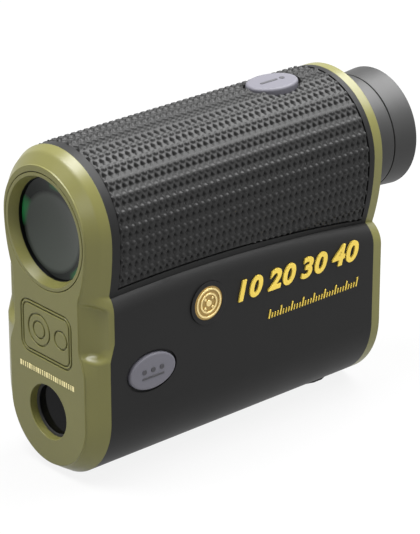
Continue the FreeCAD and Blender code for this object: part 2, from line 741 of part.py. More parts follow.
def make_objective():
    """Olive ring, black tube, two cemented glasses and their retainer."""
    ring_y1 = front_y + ring_depth
    glass_y = ring_y1 + lip_depth
    crown_back_y = glass_y + crown_edge
    flint_back_y = crown_back_y + flint_edge
    retainer_y = flint_back_y + lens_retainer_length
    tube_end_y = ring_y1 + objective_tube_length
    outer = objective_tube_radius
    seat = objective_glass + glass_gap
    ring = turned([(front_y, outer), (ring_y1, outer), (ring_y1, ring_throat), (front_y, ring_mouth)],
                  axis_z)
    tube = turned([
        (ring_y1, outer), (tube_end_y, outer), (tube_end_y, seat), (glass_y, seat),
        (glass_y, objective_lip), (ring_y1, ring_throat),
    ], axis_z)
    retainer = ring_y(objective_glass, lens_retainer_bore, flint_back_y, retainer_y, axis_z)
    crown = lens(objective_glass, glass_y, crown_edge, crown_front_curve, -cement_curve, axis_z)
    flint = lens(objective_glass, crown_back_y, flint_edge, -cement_curve, flint_back_curve, axis_z)
    return {"objective_ring": ring, "objective_tube": tube, "objective_front_glass": crown,
            "objective_rear_glass": flint, "objective_retainer": retainer}


# ---------------------------------------------------------------- prisms, receiver and display

def prism_front_y():
    """Front of the prism housing."""
    return front_y + prism_setback


def prism_length():
    """Length of the prism housing."""
    return prism_size * prism_stretch + prism_air_gap + 2 * prism_wall


def receiver_y():
    """Middle of the receiver, under the beam splitter."""
    return prism_front_y() + prism_wall + prism_size * receiver_place


def make_prisms():
    """Housing on the shelf, with the splitter prism and the roof prism in it."""
    y0 = prism_front_y()
    y1 = y0 + prism_length()
    half = prism_size / 2.0
    outer = half + prism_wall
    housing = block(-outer, outer, y0, y1, shelf_top_z, axis_z + outer)
    inner_y0, inner_y1 = y0 + prism_wall, y1 - prism_wall
    gap = glass_gap
    housing = housing.cut(block(-half - gap, half + gap, inner_y0 - gap, inner_y1 + gap, axis_z - half - gap,
                                axis_z + half + gap))
    housing = housing.cut(rod_y(light_bore, y0 - 1, y1 + 1, axis_z))
    housing = housing.cut(Part.makeCylinder(receiver_radius + round_clearance, FAR,
                                            at(0, receiver_y(), -FAR + axis_z - half)))
    lid_gap = block(-half - gap, half + gap, inner_y0 - gap, inner_y1 + gap, axis_z, axis_z + outer + 1)
    housing = housing.cut(lid_gap)
    lid = block(-half, half, inner_y0, inner_y1, axis_z + half, axis_z + outer)

    slope = prism_size * prism_slope
    middle_y = (inner_y0 + inner_y1) / 2.0
    top, bottom = axis_z + half, axis_z - half
    front_points = [(inner_y0, bottom), (middle_y + slope / 2 - prism_air_gap, bottom),
                    (middle_y - slope / 2 - prism_air_gap, top), (inner_y0, top)]
    rear_points = [(middle_y + slope / 2 + prism_air_gap, bottom), (inner_y1, bottom), (inner_y1, top),
                   (middle_y - slope / 2 + prism_air_gap, top)]
    glasses = []
    for points in (front_points, rear_points):
        wire = Part.makePolygon([at(-half, y, z) for y, z in points + points[:1]])
        glasses.append(Part.Face(wire).extrude(at(prism_size, 0, 0)))
    return {"prism_housing": housing, "prism_lid": lid, "splitter_prism": glasses[0],
            "roof_prism": glasses[1]}


def make_receiver():
    """Receiver diode in the shelf, on its own small board under it."""
    top_z = axis_z - prism_size / 2.0 - receiver_gap
    can = Part.makeCylinder(receiver_radius, top_z - shelf_bottom_z, at(0, receiver_y(), shelf_bottom_z))
    half = receiver_board_half
    board = block(-half, half, receiver_y() - half, receiver_y() + half,
                  shelf_bottom_z - board_thickness, shelf_bottom_z)
    return {"receiver_diode": can, "receiver_board": board}


def make_display():
    """Transparent display panel at the eyepiece's focal plane, in a frame in the front of its housing."""
    y0 = barrel_front_y()
    y1 = y0 + display_frame_length
    frame = rod_y(barrel_radius - barrel_wall - glass_gap, y0, y1, axis_z)
    half = display_half + glass_gap
    frame = frame.cut(block(-half, half, y0 - 1, y0 + display_thickness, axis_z - half, axis_z + half))
    frame = frame.cut(rod_y(display_half - display_lip, y0 - 1, y1 + 1, axis_z))
    panel = block(-display_half, display_half, y0, y0 + display_thickness, axis_z - display_half,
                  axis_z + display_half)
    return {"display_frame": frame, "display_panel": panel}


# ---------------------------------------------------------------- laser

def laser_tube_radius():
    """Outside of the laser tube."""
    return collimator_radius + glass_gap + laser_tube_wall


def make_laser():
    """Window and gasket in the bezel, and the tube with its collimator lens and diode."""
    seat_y = front_y + window_setback
    window_y = seat_y + gasket_thickness
    tube_y0 = window_y + window_thickness
    tube_y1 = tube_y0 + laser_tube_length
    radius = laser_tube_radius()
    bore = collimator_radius + glass_gap
    gasket = ring_y(window_radius, gasket_bore, seat_y, window_y, laser_height)
    window = rod_y(window_radius, window_y, tube_y0, laser_height)
    lens_y = tube_y0 + collimator_setback
    lens_back_y = lens_y + collimator_edge
    can_y0 = tube_y1 - laser_can_length + laser_can_proud
    can_rear_y = tube_y1 - laser_can_length - laser_can_step
    tube = turned([
        (tube_y0, radius), (tube_y1, radius), (tube_y1, laser_can_radius + glass_gap),
        (can_y0, laser_can_radius + glass_gap), (can_y0, laser_can_radius - laser_can_step),
        (can_rear_y, laser_can_radius - laser_can_step), (can_rear_y, bore - laser_lens_step),
        (lens_back_y, bore - laser_lens_step), (lens_back_y, bore), (tube_y0, bore),
    ], laser_height)
    glass = lens(collimator_radius, lens_y, collimator_edge, collimator_curve, 0, laser_height)
    retainer = ring_y(collimator_radius, collimator_radius - glass_seat + 0.2, tube_y0, lens_y, laser_height)
    can = rod_y(laser_can_radius, can_y0, can_y0 + laser_can_length, laser_height)
    board_y = can_y0 + laser_can_length + laser_board_gap
    pin_y = board_y - laser_pin_sink
    for turn in laser_pin_turns:
        angle = math.radians(turn)
        x, z = laser_pin_offset * math.cos(angle), laser_height + laser_pin_offset * math.sin(angle)
        can = can.fuse(rod_y(laser_pin_radius, pin_y, pin_y + laser_pin_length, z, x))
    half = laser_board_half
    board = block(-half, half, board_y, board_y + board_thickness, laser_height - half, laser_height + half)
    for turn in laser_pin_turns:
        angle = math.radians(turn)
        x, z = laser_pin_offset * math.cos(angle), laser_height + laser_pin_offset * math.sin(angle)
        board = board.cut(rod_y(laser_pin_radius + glass_gap, board_y - 1, board_y + 3, z, x))
    return {"laser_window_gasket": gasket, "laser_window": window, "laser_tube": tube,
            "laser_lens": glass, "laser_lens_retainer": retainer, "laser_diode": can,
            "laser_board": board}


# ---------------------------------------------------------------- battery, its door and hinge

def make_battery():
    """Battery tube, cell and spring contact."""
    cell_y1 = door_seat_y - contact_thickness - battery_end_gap
    cell_y0 = cell_y1 - battery_length
    body_y0 = cell_y0 + battery_nub_height
    end_y = cell_y0 - spring_height
    cell = rod_y(battery_radius, body_y0, cell_y1, battery_z)
    cell = cell.fuse(rod_y(battery_nub_radius, cell_y0, body_y0, battery_z)).removeSplitter()
    tube = turned([
        (end_y - battery_tube_wall, 0.0), (end_y - battery_tube_wall, battery_tube_radius),
        (door_seat_y, battery_tube_radius), (door_seat_y, battery_tube_inner), (end_y, battery_tube_inner),
        (end_y, 0.0),
    ], battery_z)
    helix = Part.makeHelix((spring_height - 2 * spring_wire) / spring_turns,
                           spring_height - 2 * spring_wire, battery_nub_radius - spring_wire)
    circle = Part.Wire(Part.Circle(at(battery_nub_radius - spring_wire, 0, 0), at(0, 1, 0),
                                   spring_wire).toShape())
    spring = Part.Wire(helix).makePipeShell([circle], True, True)
    spring.rotate(at(0, 0, 0), at(1, 0, 0), -90)
    spring.translate(at(0, end_y + spring_wire, battery_z))
    return {"battery_tube": tube, "battery": cell, "battery_spring": spring}


def make_door():
    """Hinged battery door with a contact plate, its gasket and the hinge pin."""
    y0, y1 = door_inner_y, door_inner_y + door_thickness
    panel = block(-door_half_width, door_half_width, y0, y1, door_bottom_z, door_top_z)
    corners = [e for e in panel.Edges
               if abs(e.Vertexes[0].Y - e.Vertexes[1].Y) > door_thickness / 2.0]
    panel = panel.makeFillet(door_corner, [e for e in corners if e.Vertexes[0].Z > battery_z])
    rim = [e for e in panel.Edges if all(abs(v.Y - y1) < 1e-6 for v in e.Vertexes)]
    panel = panel.makeFillet(door_edge, rim)
    half = door_knuckle_half_width
    knuckle = Part.makeCylinder(hinge_knuckle, 2 * half, at(-half, hinge_y, hinge_height), at(1, 0, 0))
    web = block(-half, half, y0 + hinge_inset, hinge_y + hinge_knuckle - hinge_room, hinge_height,
                door_bottom_z + door_edge)
    door = panel.fuse(knuckle).fuse(web)
    door = door.cut(hinge_rod(hinge_pin_radius + running_clearance))
    contact = rod_y(contact_radius, y0 - contact_thickness, y0, battery_z)
    pin = hinge_rod(hinge_pin_radius)
    gasket = ring_y(battery_tube_radius + gasket_width, battery_tube_radius + seat_gap,
                    door_seat_y - door_gasket_thickness, door_seat_y, battery_z)
    return {"battery_door": door.removeSplitter(), "door_contact": contact, "hinge_pin": pin,
            "door_gasket": gasket}


# ---------------------------------------------------------------- eyepiece

def barrel_front_y():
    """Front end of the eyepiece housing, in front of the chassis's rear plate."""
    return rear_plate_y - plate_thickness - barrel_front_reach


def make_eyepiece():
    """Fixed housing, turning dioptre ring with its eyecup, and the sliding cell with two glasses."""
    seam_y = rear_y + neck_length
    inner = barrel_radius - barrel_wall
    barrel_end = lip_y - barrel_end_inset
    groove_floor = rear_y + neck_floor
    sleeve_inner = barrel_radius + running_clearance
    sleeve_outer = sleeve_inner + sleeve_wall
    neck_inner = sleeve_outer + running_clearance
    y0 = barrel_front_y()
    housing = turned([
        (y0, barrel_tail_radius), (rear_y, barrel_tail_radius), (rear_y, neck_radius_front),
        (seam_y, neck_radius_rear),
        (seam_y, neck_inner), (groove_floor, neck_inner), (groove_floor, barrel_radius),
        (barrel_end, barrel_radius), (barrel_end, inner), (y0, inner),
    ], axis_z)
    pin_y = rear_y + cam_pin_setback
    slot_half = cam_travel + cam_pin_radius + cam_end_gap
    slot = block(-cam_pin_radius - running_clearance, cam_pin_radius + running_clearance,
                 pin_y - slot_half, pin_y + slot_half, axis_z + inner - 1, axis_z + barrel_radius + 0.02)
    housing = housing.cut(slot)

    seal_y1 = groove_floor + dioptre_seal_thickness
    seal = ring_y(neck_inner - 0.02, barrel_radius + 0.02, groove_floor, seal_y1, axis_z)
    sleeve_y0 = seal_y1 + seat_gap
    sleeve_y1 = lip_y - sleeve_end_inset
    trap_y0 = barrel_end - trap_ring_thickness
    trap_radius = barrel_radius + sleeve_wall * trap_share
    ring = turned([
        (sleeve_y0, sleeve_inner), (sleeve_y0, sleeve_outer), (sleeve_y1, sleeve_outer),
        (sleeve_y1, trap_radius + running_clearance), (trap_y0 - seat_gap, trap_radius + running_clearance),
        (trap_y0 - seat_gap, sleeve_inner),
    ], axis_z)
    ring = ring.cut(cam_groove(pin_y, sleeve_inner))
    trap = ring_y(trap_radius, barrel_radius - trap_groove, trap_y0, barrel_end, axis_z)
    housing = housing.cut(ring_y(barrel_radius + 1, barrel_radius - trap_groove - glass_gap,
                                 trap_y0 - 0.01, barrel_end + 1, axis_z))

    cup_y0 = seam_y + eyecup_seam_gap
    lip_inner = eyecup_radius_rear - eyecup_lip_wall
    eyecup = turned([
        (cup_y0, sleeve_outer), (cup_y0, eyecup_radius_front), (lip_y - eyecup_edge, eyecup_radius_rear),
        (lip_y, eyecup_radius_rear - eyecup_edge), (lip_y, lip_inner + eyecup_edge),
        (lip_y - eyecup_edge, lip_inner), (sleeve_y1, lip_inner - eyecup_step), (sleeve_y1, sleeve_outer),
    ], axis_z)

    cell_outer = inner - running_clearance
    cell_y0 = rear_y + cell_front_setback
    cell_y1 = cell_y0 + cell_length - cam_travel - cam_end_gap
    seat = cell_outer - cell_wall
    eye_y1 = cell_y1 - cell_lip
    cell = turned([
        (cell_y0, cell_outer), (cell_y1, cell_outer), (cell_y1, seat - cell_lip_wall),
        (eye_y1, seat - cell_lip_wall),
        (eye_y1, seat), (cell_y0, seat),
    ], axis_z)
    pin_z = seat + cam_end_gap * 2
    pin = Part.makeCylinder(cam_pin_radius, barrel_radius + cam_groove_depth - cam_end_gap - pin_z,
                            at(0, pin_y, axis_z + pin_z))
    cell = cell.cut(Part.makeCylinder(cam_pin_radius, 20, at(0, pin_y, axis_z)))
    glass_radius = seat - glass_gap
    eye_y0 = eye_y1 - eye_glass_edge
    eye = lens(glass_radius, eye_y0, eye_glass_edge, eye_glass_curve, 0, axis_z)
    spacer_y0 = eye_y0 - ocular_spacer_length
    spacer_bore = glass_radius - glass_seat + 0.2
    spacer = ring_y(glass_radius, spacer_bore, spacer_y0, eye_y0, axis_z)
    retainer_y1 = spacer_y0 - field_glass_edge
    field = lens(glass_radius, retainer_y1, field_glass_edge, field_glass_curve, 0, axis_z)
    retainer = ring_y(glass_radius, spacer_bore, retainer_y1 - ocular_retainer_length, retainer_y1, axis_z)
    return {"eyepiece_housing": housing, "dioptre_seal": seal, "dioptre_ring": ring, "trap_ring": trap,
            "eyecup": eyecup, "ocular_cell": cell, "cam_pin": pin, "eye_lens": eye,
            "ocular_spacer": spacer, "field_lens": field, "ocular_retainer": retainer}


def cam_groove(pin_y, sleeve_inner):
    """Helical groove in the dioptre ring that drives the cam pin along Y."""
    pitch = cam_travel * 360.0 / cam_half_turn_deg
    half_turn = cam_half_turn_deg + cam_spare_deg
    height = pitch * 2 * half_turn / 360.0
    radius = sleeve_inner + cam_groove_depth / 2.0
    helix = Part.makeHelix(pitch, height, radius)
    half_width = cam_pin_radius + running_clearance + 0.01
    r0, r1 = sleeve_inner - 0.4, sleeve_inner + cam_groove_depth
    corners = [at(r0, 0, -half_width), at(r1, 0, -half_width), at(r1, 0, half_width), at(r0, 0, half_width)]
    section = Part.makePolygon(corners + corners[:1])
    groove = Part.Wire(helix).makePipeShell([section], True, True)
    groove.translate(at(0, 0, -height / 2.0))
    groove.rotate(at(0, 0, 0), at(0, 0, 1), -half_turn)
    groove.rotate(at(0, 0, 0), at(1, 0, 0), -90)
    groove.rotate(at(0, 0, 0), at(0, 1, 0), -90)
    groove.translate(at(0, pin_y, axis_z))
    return groove


# ---------------------------------------------------------------- buttons

def power_centre_y():
    """Middle of the power button along Y."""
    return front_y + power_setback


def power_oval(gap):
    """The power button's oval, widened by gap, through the top of the body."""
    return oval(power_half_length + gap, power_half_width + gap,
                at(0, power_centre_y(), axis_z + 5), at(0, 0, 1), at(0, 1, 0), FAR)


def mode_oval(gap):
    """The mode button's oval, widened by gap, through the side of the body."""
    return oval(mode_half_length + gap, mode_half_height + gap,
                at(lower_half_width - 5, front_y + mode_setback, mode_height), at(1, 0, 0), at(0, 1, 0), FAR)


def mode_moat():
    """Shallow step around the mode button."""
    return oval(mode_half_length + button_moat, mode_half_height + button_moat,
                at(lower_half_width - 0.5, front_y + mode_setback, mode_height), at(1, 0, 0), at(0, 1, 0), 5)


def power_flange_z():
    """Top of the power button's flange, under the curved inside of the upper shell."""
    edge_x = power_half_width + button_flange
    inner_radius = upper_radius - upper_wall
    return round_top_z + math.sqrt(inner_radius ** 2 - edge_x ** 2) - 0.1 - seal_thickness


def power_switch_z():
    """Tip of the switch under the power button."""
    return power_flange_z() - button_flange_thickness - power_travel - switch_gap


def power_board_top_z():
    """Top of the board that carries the power switch."""
    return power_switch_z() - switch_height


def make_buttons():
    """Both push buttons with their seals, switches and boards."""
    y = power_centre_y()
    top_z = body_height + power_proud
    flange_z = power_flange_z()
    cap = oval(power_half_length, power_half_width, at(0, y, flange_z), at(0, 0, 1), at(0, 1, 0),
               top_z - flange_z)
    rim = [e for e in cap.Edges if all(abs(v.Z - top_z) < 1e-6 for v in e.Vertexes)]
    cap = cap.makeFillet(power_edge, rim)
    flange = oval(power_half_length + button_flange, power_half_width + button_flange,
                  at(0, y, flange_z - button_flange_thickness), at(0, 0, 1), at(0, 1, 0),
                  button_flange_thickness)
    power_button = cap.fuse(flange).removeSplitter()
    seal = oval(power_half_length + button_flange, power_half_width + button_flange,
                at(0, y, flange_z + seat_gap), at(0, 0, 1), at(0, 1, 0), seal_thickness)
    seal = seal.cut(power_oval(button_gap)).common(upper_half(front_joint_y, rear_joint_y, upper_wall))
    power_switch = dome_switch(at(0, y, power_switch_z()), at(0, 0, -1))
    board_top_z = power_board_top_z()
    half_length = power_post_offset + power_post_radius
    power_board = block(-power_board_half_width, power_board_half_width, y - half_length, y + half_length,
                        board_top_z - board_thickness, board_top_z)

    mode_y = front_y + mode_setback
    inner_x = lower_half_width - lower_wall
    flange_x = inner_x - seat_gap - seal_thickness
    face_x = lower_half_width + mode_proud
    cap = oval(mode_half_length, mode_half_height, at(flange_x, mode_y, mode_height), at(1, 0, 0),
               at(0, 1, 0), face_x - flange_x)
    rim = [e for e in cap.Edges if all(abs(v.X - face_x) < 1e-6 for v in e.Vertexes)]
    cap = cap.makeFillet(mode_edge, rim)
    flange = oval(mode_half_length + button_flange, mode_half_height + button_flange,
                  at(flange_x - button_flange_thickness, mode_y, mode_height), at(1, 0, 0), at(0, 1, 0),
                  button_flange_thickness)
    mode_button = cap.fuse(flange).removeSplitter()
    mode_seal = oval(mode_half_length + button_flange, mode_half_height + button_flange,
                     at(flange_x + seat_gap, mode_y, mode_height), at(1, 0, 0), at(0, 1, 0), seal_thickness)
    mode_seal = mode_seal.cut(mode_oval(button_gap))
    switch_x = flange_x - button_flange_thickness - mode_travel - switch_gap
    mode_switch = dome_switch(at(switch_x, mode_y, mode_height), at(-1, 0, 0))
    board_x = switch_x - switch_height
    board_y0 = front_plate_y + plate_thickness
    mode_board = block(board_x - board_thickness, board_x, board_y0,
                       mode_y + mode_half_length + mode_board_rear,
                       mode_height - mode_board_below, mode_height + mode_board_above)
    return {"power_button": power_button, "power_seal": seal, "power_switch": power_switch,
            "power_board": power_board, "mode_button": mode_button, "mode_seal": mode_seal,
            "mode_switch": mode_switch, "mode_board": mode_board}


def dome_switch(tip, inward):
    """A square switch with a round tip; inward points from the tip to the board."""
    side = at(inward.z, inward.x, inward.y)
    third = inward.cross(side)
    corner = tip + inward * switch_tip_height
    points = [corner + side * (a * switch_half) + third * (b * switch_half)
              for a, b in ((1, 1), (1, -1), (-1, -1), (-1, 1))]
    outline = Part.Face(Part.makePolygon(points + points[:1]))
    base = outline.extrude(inward * (switch_height - switch_tip_height))
    return base.fuse(Part.makeCylinder(stem_radius, switch_tip_height, tip, inward)).removeSplitter()


# ---------------------------------------------------------------- boards, badge and foot

def make_boards():
    """Main board upright under the shelf, with its chips."""
    x1 = -main_board_offset
    y0 = front_y + main_board_setback
    y1 = y0 + main_board_length
    z1 = shelf_bottom_z
    z0 = z1 - main_board_height
    board = block(x1 - board_thickness, x1, y0, y1, z0, z1)
    chips = []
    for dy, dz, long_side, high_side in ((5, 8, 9, 9), (18, 6, 7, 5), (29, 14, 6, 6), (40, 5, 5, 8)):
        chips.append(block(x1, x1 + chip_height, y0 + dy, y0 + dy + long_side, z1 - dz - high_side, z1 - dz))
    return {"main_board": board, "board_chips": Part.makeCompound(chips)}


def badge_seat():
    """Round pocket in the side for the badge."""
    return Part.makeCylinder(badge_ring_radius + bond_gap, 10,
                             at(lower_half_width - badge_seat_depth, front_y + badge_setback,
                                waist_z - badge_drop), at(1, 0, 0))


def make_badge():
    """Plain round badge and its dark surround, in a shallow pocket on the side."""
    y, z = front_y + badge_setback, waist_z - badge_drop
    x0 = lower_half_width - badge_seat_depth
    disc = Part.makeCylinder(badge_radius, badge_seat_depth + badge_proud, at(x0, y, z), at(1, 0, 0))
    ring = Part.makeCylinder(badge_ring_radius, badge_seat_depth + badge_ring_proud, at(x0, y, z),
                             at(1, 0, 0))
    ring = ring.cut(Part.makeCylinder(badge_radius + glass_gap, 10, at(x0 - 1, y, z), at(1, 0, 0)))
    return {"badge": disc, "badge_surround": ring}


def make_bars():
    """Lanyard bar and the two sets of bezel screws."""
    return {
        "lanyard_bar": lanyard_rod(),
        "rear_screws": screws(rear_y - screw_head_height, -1, screw_shaft_length),
        "front_screws": screws(front_plate_y + plate_thickness, -1, front_screw_length),
    }


def main():
    """Build every piece and write one file for each."""
    pieces = {}
    pieces.update(make_shells())
    pieces["front_bezel"] = make_front_bezel()
    pieces["rear_bezel"] = make_rear_bezel()
    pieces["chassis"] = make_chassis()
    for maker in (make_objective, make_prisms, make_receiver, make_display, make_laser, make_battery,
                  make_door, make_eyepiece, make_buttons, make_boards, make_badge, make_bars):
        pieces.update(maker())
    os.makedirs("parts", exist_ok=True)
    for name, shape in pieces.items():
        solids = shape.Solids
        volume = sum(s.Volume for s in solids)
        print(f"{name:24s} solids {len(solids)}  volume {volume:9.1f}  valid {shape.isValid()}")
        shape.exportStep(f"parts/{name}.step")


main()
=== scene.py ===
"""Looks of a handheld laser rangefinder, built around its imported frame.

Units are metres. Sizes in the classes are millimetres and pass through MM. X is across the body, Y runs
from the objective (-Y) to the eyecup (+Y) and Z is up, with the flat base at z = 0.
"""

import json
import logging
import math
from dataclasses import dataclass
from enum import Enum

import bmesh
import bpy
import numpy as np
from mathutils import Matrix, Vector


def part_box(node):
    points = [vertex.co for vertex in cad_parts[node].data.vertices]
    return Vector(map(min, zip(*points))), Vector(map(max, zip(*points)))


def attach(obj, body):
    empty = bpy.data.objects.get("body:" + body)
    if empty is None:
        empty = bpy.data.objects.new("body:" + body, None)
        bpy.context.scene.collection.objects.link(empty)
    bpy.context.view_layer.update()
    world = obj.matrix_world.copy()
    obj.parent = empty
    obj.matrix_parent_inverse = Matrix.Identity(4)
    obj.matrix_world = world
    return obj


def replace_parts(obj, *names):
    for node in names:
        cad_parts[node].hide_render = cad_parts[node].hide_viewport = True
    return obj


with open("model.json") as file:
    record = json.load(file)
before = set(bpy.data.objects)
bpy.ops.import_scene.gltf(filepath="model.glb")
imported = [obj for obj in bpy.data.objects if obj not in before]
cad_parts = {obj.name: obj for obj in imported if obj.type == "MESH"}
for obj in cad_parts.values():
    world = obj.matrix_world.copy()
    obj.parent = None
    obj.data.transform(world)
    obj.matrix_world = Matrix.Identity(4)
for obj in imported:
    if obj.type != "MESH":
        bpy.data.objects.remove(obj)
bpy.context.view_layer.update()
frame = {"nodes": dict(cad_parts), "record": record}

MM = 0.001
SHARP_DEG = 40.0              # edges turned more than this stay sharp on plates, glass and the bezel
LOG = logging.getLogger("rangefinder")


class Body(Enum):
    """Moving bodies that the added pieces ride on."""

    HOUSING = "housing"
    POWER_KEY = "power_key"
    MODE_KEY = "mode_key"


# ---------------------------------------------------------------- colour and node helpers

def linear(colour: str) -> tuple[float, float, float, float]:
    """Turn an sRGB hex colour into linear light.

    Args:
        colour: Six hex digits, such as "7a7750".

    Returns:
        Red, green, blue and an alpha of one.
    """
    parts = [int(colour[i:i + 2], 16) / 255.0 for i in (0, 2, 4)]
    red, painted_green_reflection, blue = [c / 12.92 if c <= 0.04045 else ((c + 0.055) / 1.055) ** 2.4 for c in parts]
    return red, painted_green_reflection, blue, 1.0


def add_node(tree: bpy.types.NodeTree, kind: str, settings: dict | None = None,
             links: dict | None = None) -> bpy.types.Node:
    """Add one node with its settings and its incoming links.

    Args:
        tree: The node tree that takes the node.
        kind: Blender's node type name.
        settings: Attribute or input names with their values.
        links: Input names or places with the output sockets that feed them.

    Returns:
        The new node.
    """
    node = tree.nodes.new(kind)
    for key, value in (settings or {}).items():
        if isinstance(key, str) and hasattr(node, key):
            setattr(node, key, value)
        else:
            node.inputs[key].default_value = value
    for key, source in (links or {}).items():
        tree.links.new(source, node.inputs[key])
    return node


def blend(tree: bpy.types.NodeTree, factor: bpy.types.NodeSocket, low: str, high: str) -> bpy.types.Node:
    """Add a node that blends two sRGB colours.

    Args:
        tree: The node tree.
        factor: The socket that sets the share of the second colour.
        low: The first colour.
        high: The second colour.

    Returns:
        The node, whose colour is output 2.
    """
    return add_node(tree, "ShaderNodeMix", {"data_type": "RGBA", 6: linear(low), 7: linear(high)},
                    {0: factor})


# ---------------------------------------------------------------- finishes

@dataclass(frozen=True)
class Finish:
    """One surface finish: a base colour with a fine grain, soft edges and uneven gloss.

    The fields describe the plain moulded or machined case. Sub-classes change what the eye sees.
    """

    name: str
    colour: str
    shade: str                    # colour of the darker patches
    roughness: float = 0.5
    roughness_swing: float = 0.06
    metallic: float = 0.0
    ior: float = 1.5
    grain_mm: float = 0.35
    grain_depth_mm: float = 0.012
    patch_mm: float = 14.0
    edge_mm: float = 0.15
    specular: float = 0.5
    coat: float = 0.0

    def material(self) -> bpy.types.Material:
        """Build the material once, and give the same one on later calls.

        Returns:
            The Blender material.
        """
        known = bpy.data.materials.get(self.name)
        if known:
            return known
        material = bpy.data.materials.new(self.name)
        material.use_nodes = True
        tree = material.node_tree
        tree.nodes.clear()
        shader = self.shader(tree)
        add_node(tree, "ShaderNodeOutputMaterial", links={"Surface": shader.outputs[0]})
        return material

    def shader(self, tree: bpy.types.NodeTree) -> bpy.types.Node:
        """Add the surface shader with its grain, patches and soft edges.

        Args:
            tree: The material's node tree.

        Returns:
            The node whose first output is the surface.
        """
        place = add_node(tree, "ShaderNodeTexCoord").outputs["Object"]
        patches = add_node(tree, "ShaderNodeTexNoise", {"Scale": 1.0 / (self.patch_mm * MM), "Detail": 3.0},
                           {"Vector": place}).outputs["Fac"]
        grain = add_node(tree, "ShaderNodeTexNoise", {"Scale": 1.0 / (self.grain_mm * MM), "Detail": 2.0},
                         {"Vector": place}).outputs["Fac"]
        colour = blend(tree, patches, self.shade, self.colour)
        gloss = add_node(tree, "ShaderNodeMapRange",
                         {"To Min": self.roughness - self.roughness_swing,
                          "To Max": self.roughness + self.roughness_swing}, {"Value": patches})
        edges = add_node(tree, "ShaderNodeBevel", {"samples": 6, "Radius": self.edge_mm * MM})
        bump = add_node(tree, "ShaderNodeBump", {"Strength": 0.6, "Distance": self.grain_depth_mm * MM},
                        {"Height": grain, "Normal": edges.outputs[0]})
        return add_node(tree, "ShaderNodeBsdfPrincipled",
                        {"Metallic": self.metallic, "IOR": self.ior, "Specular IOR Level": self.specular,
                         "Coat Weight": self.coat, "Coat Roughness": 0.15},
                        {"Base Color": colour.outputs[2], "Roughness": gloss.outputs[0],
                         "Normal": bump.outputs[0]})


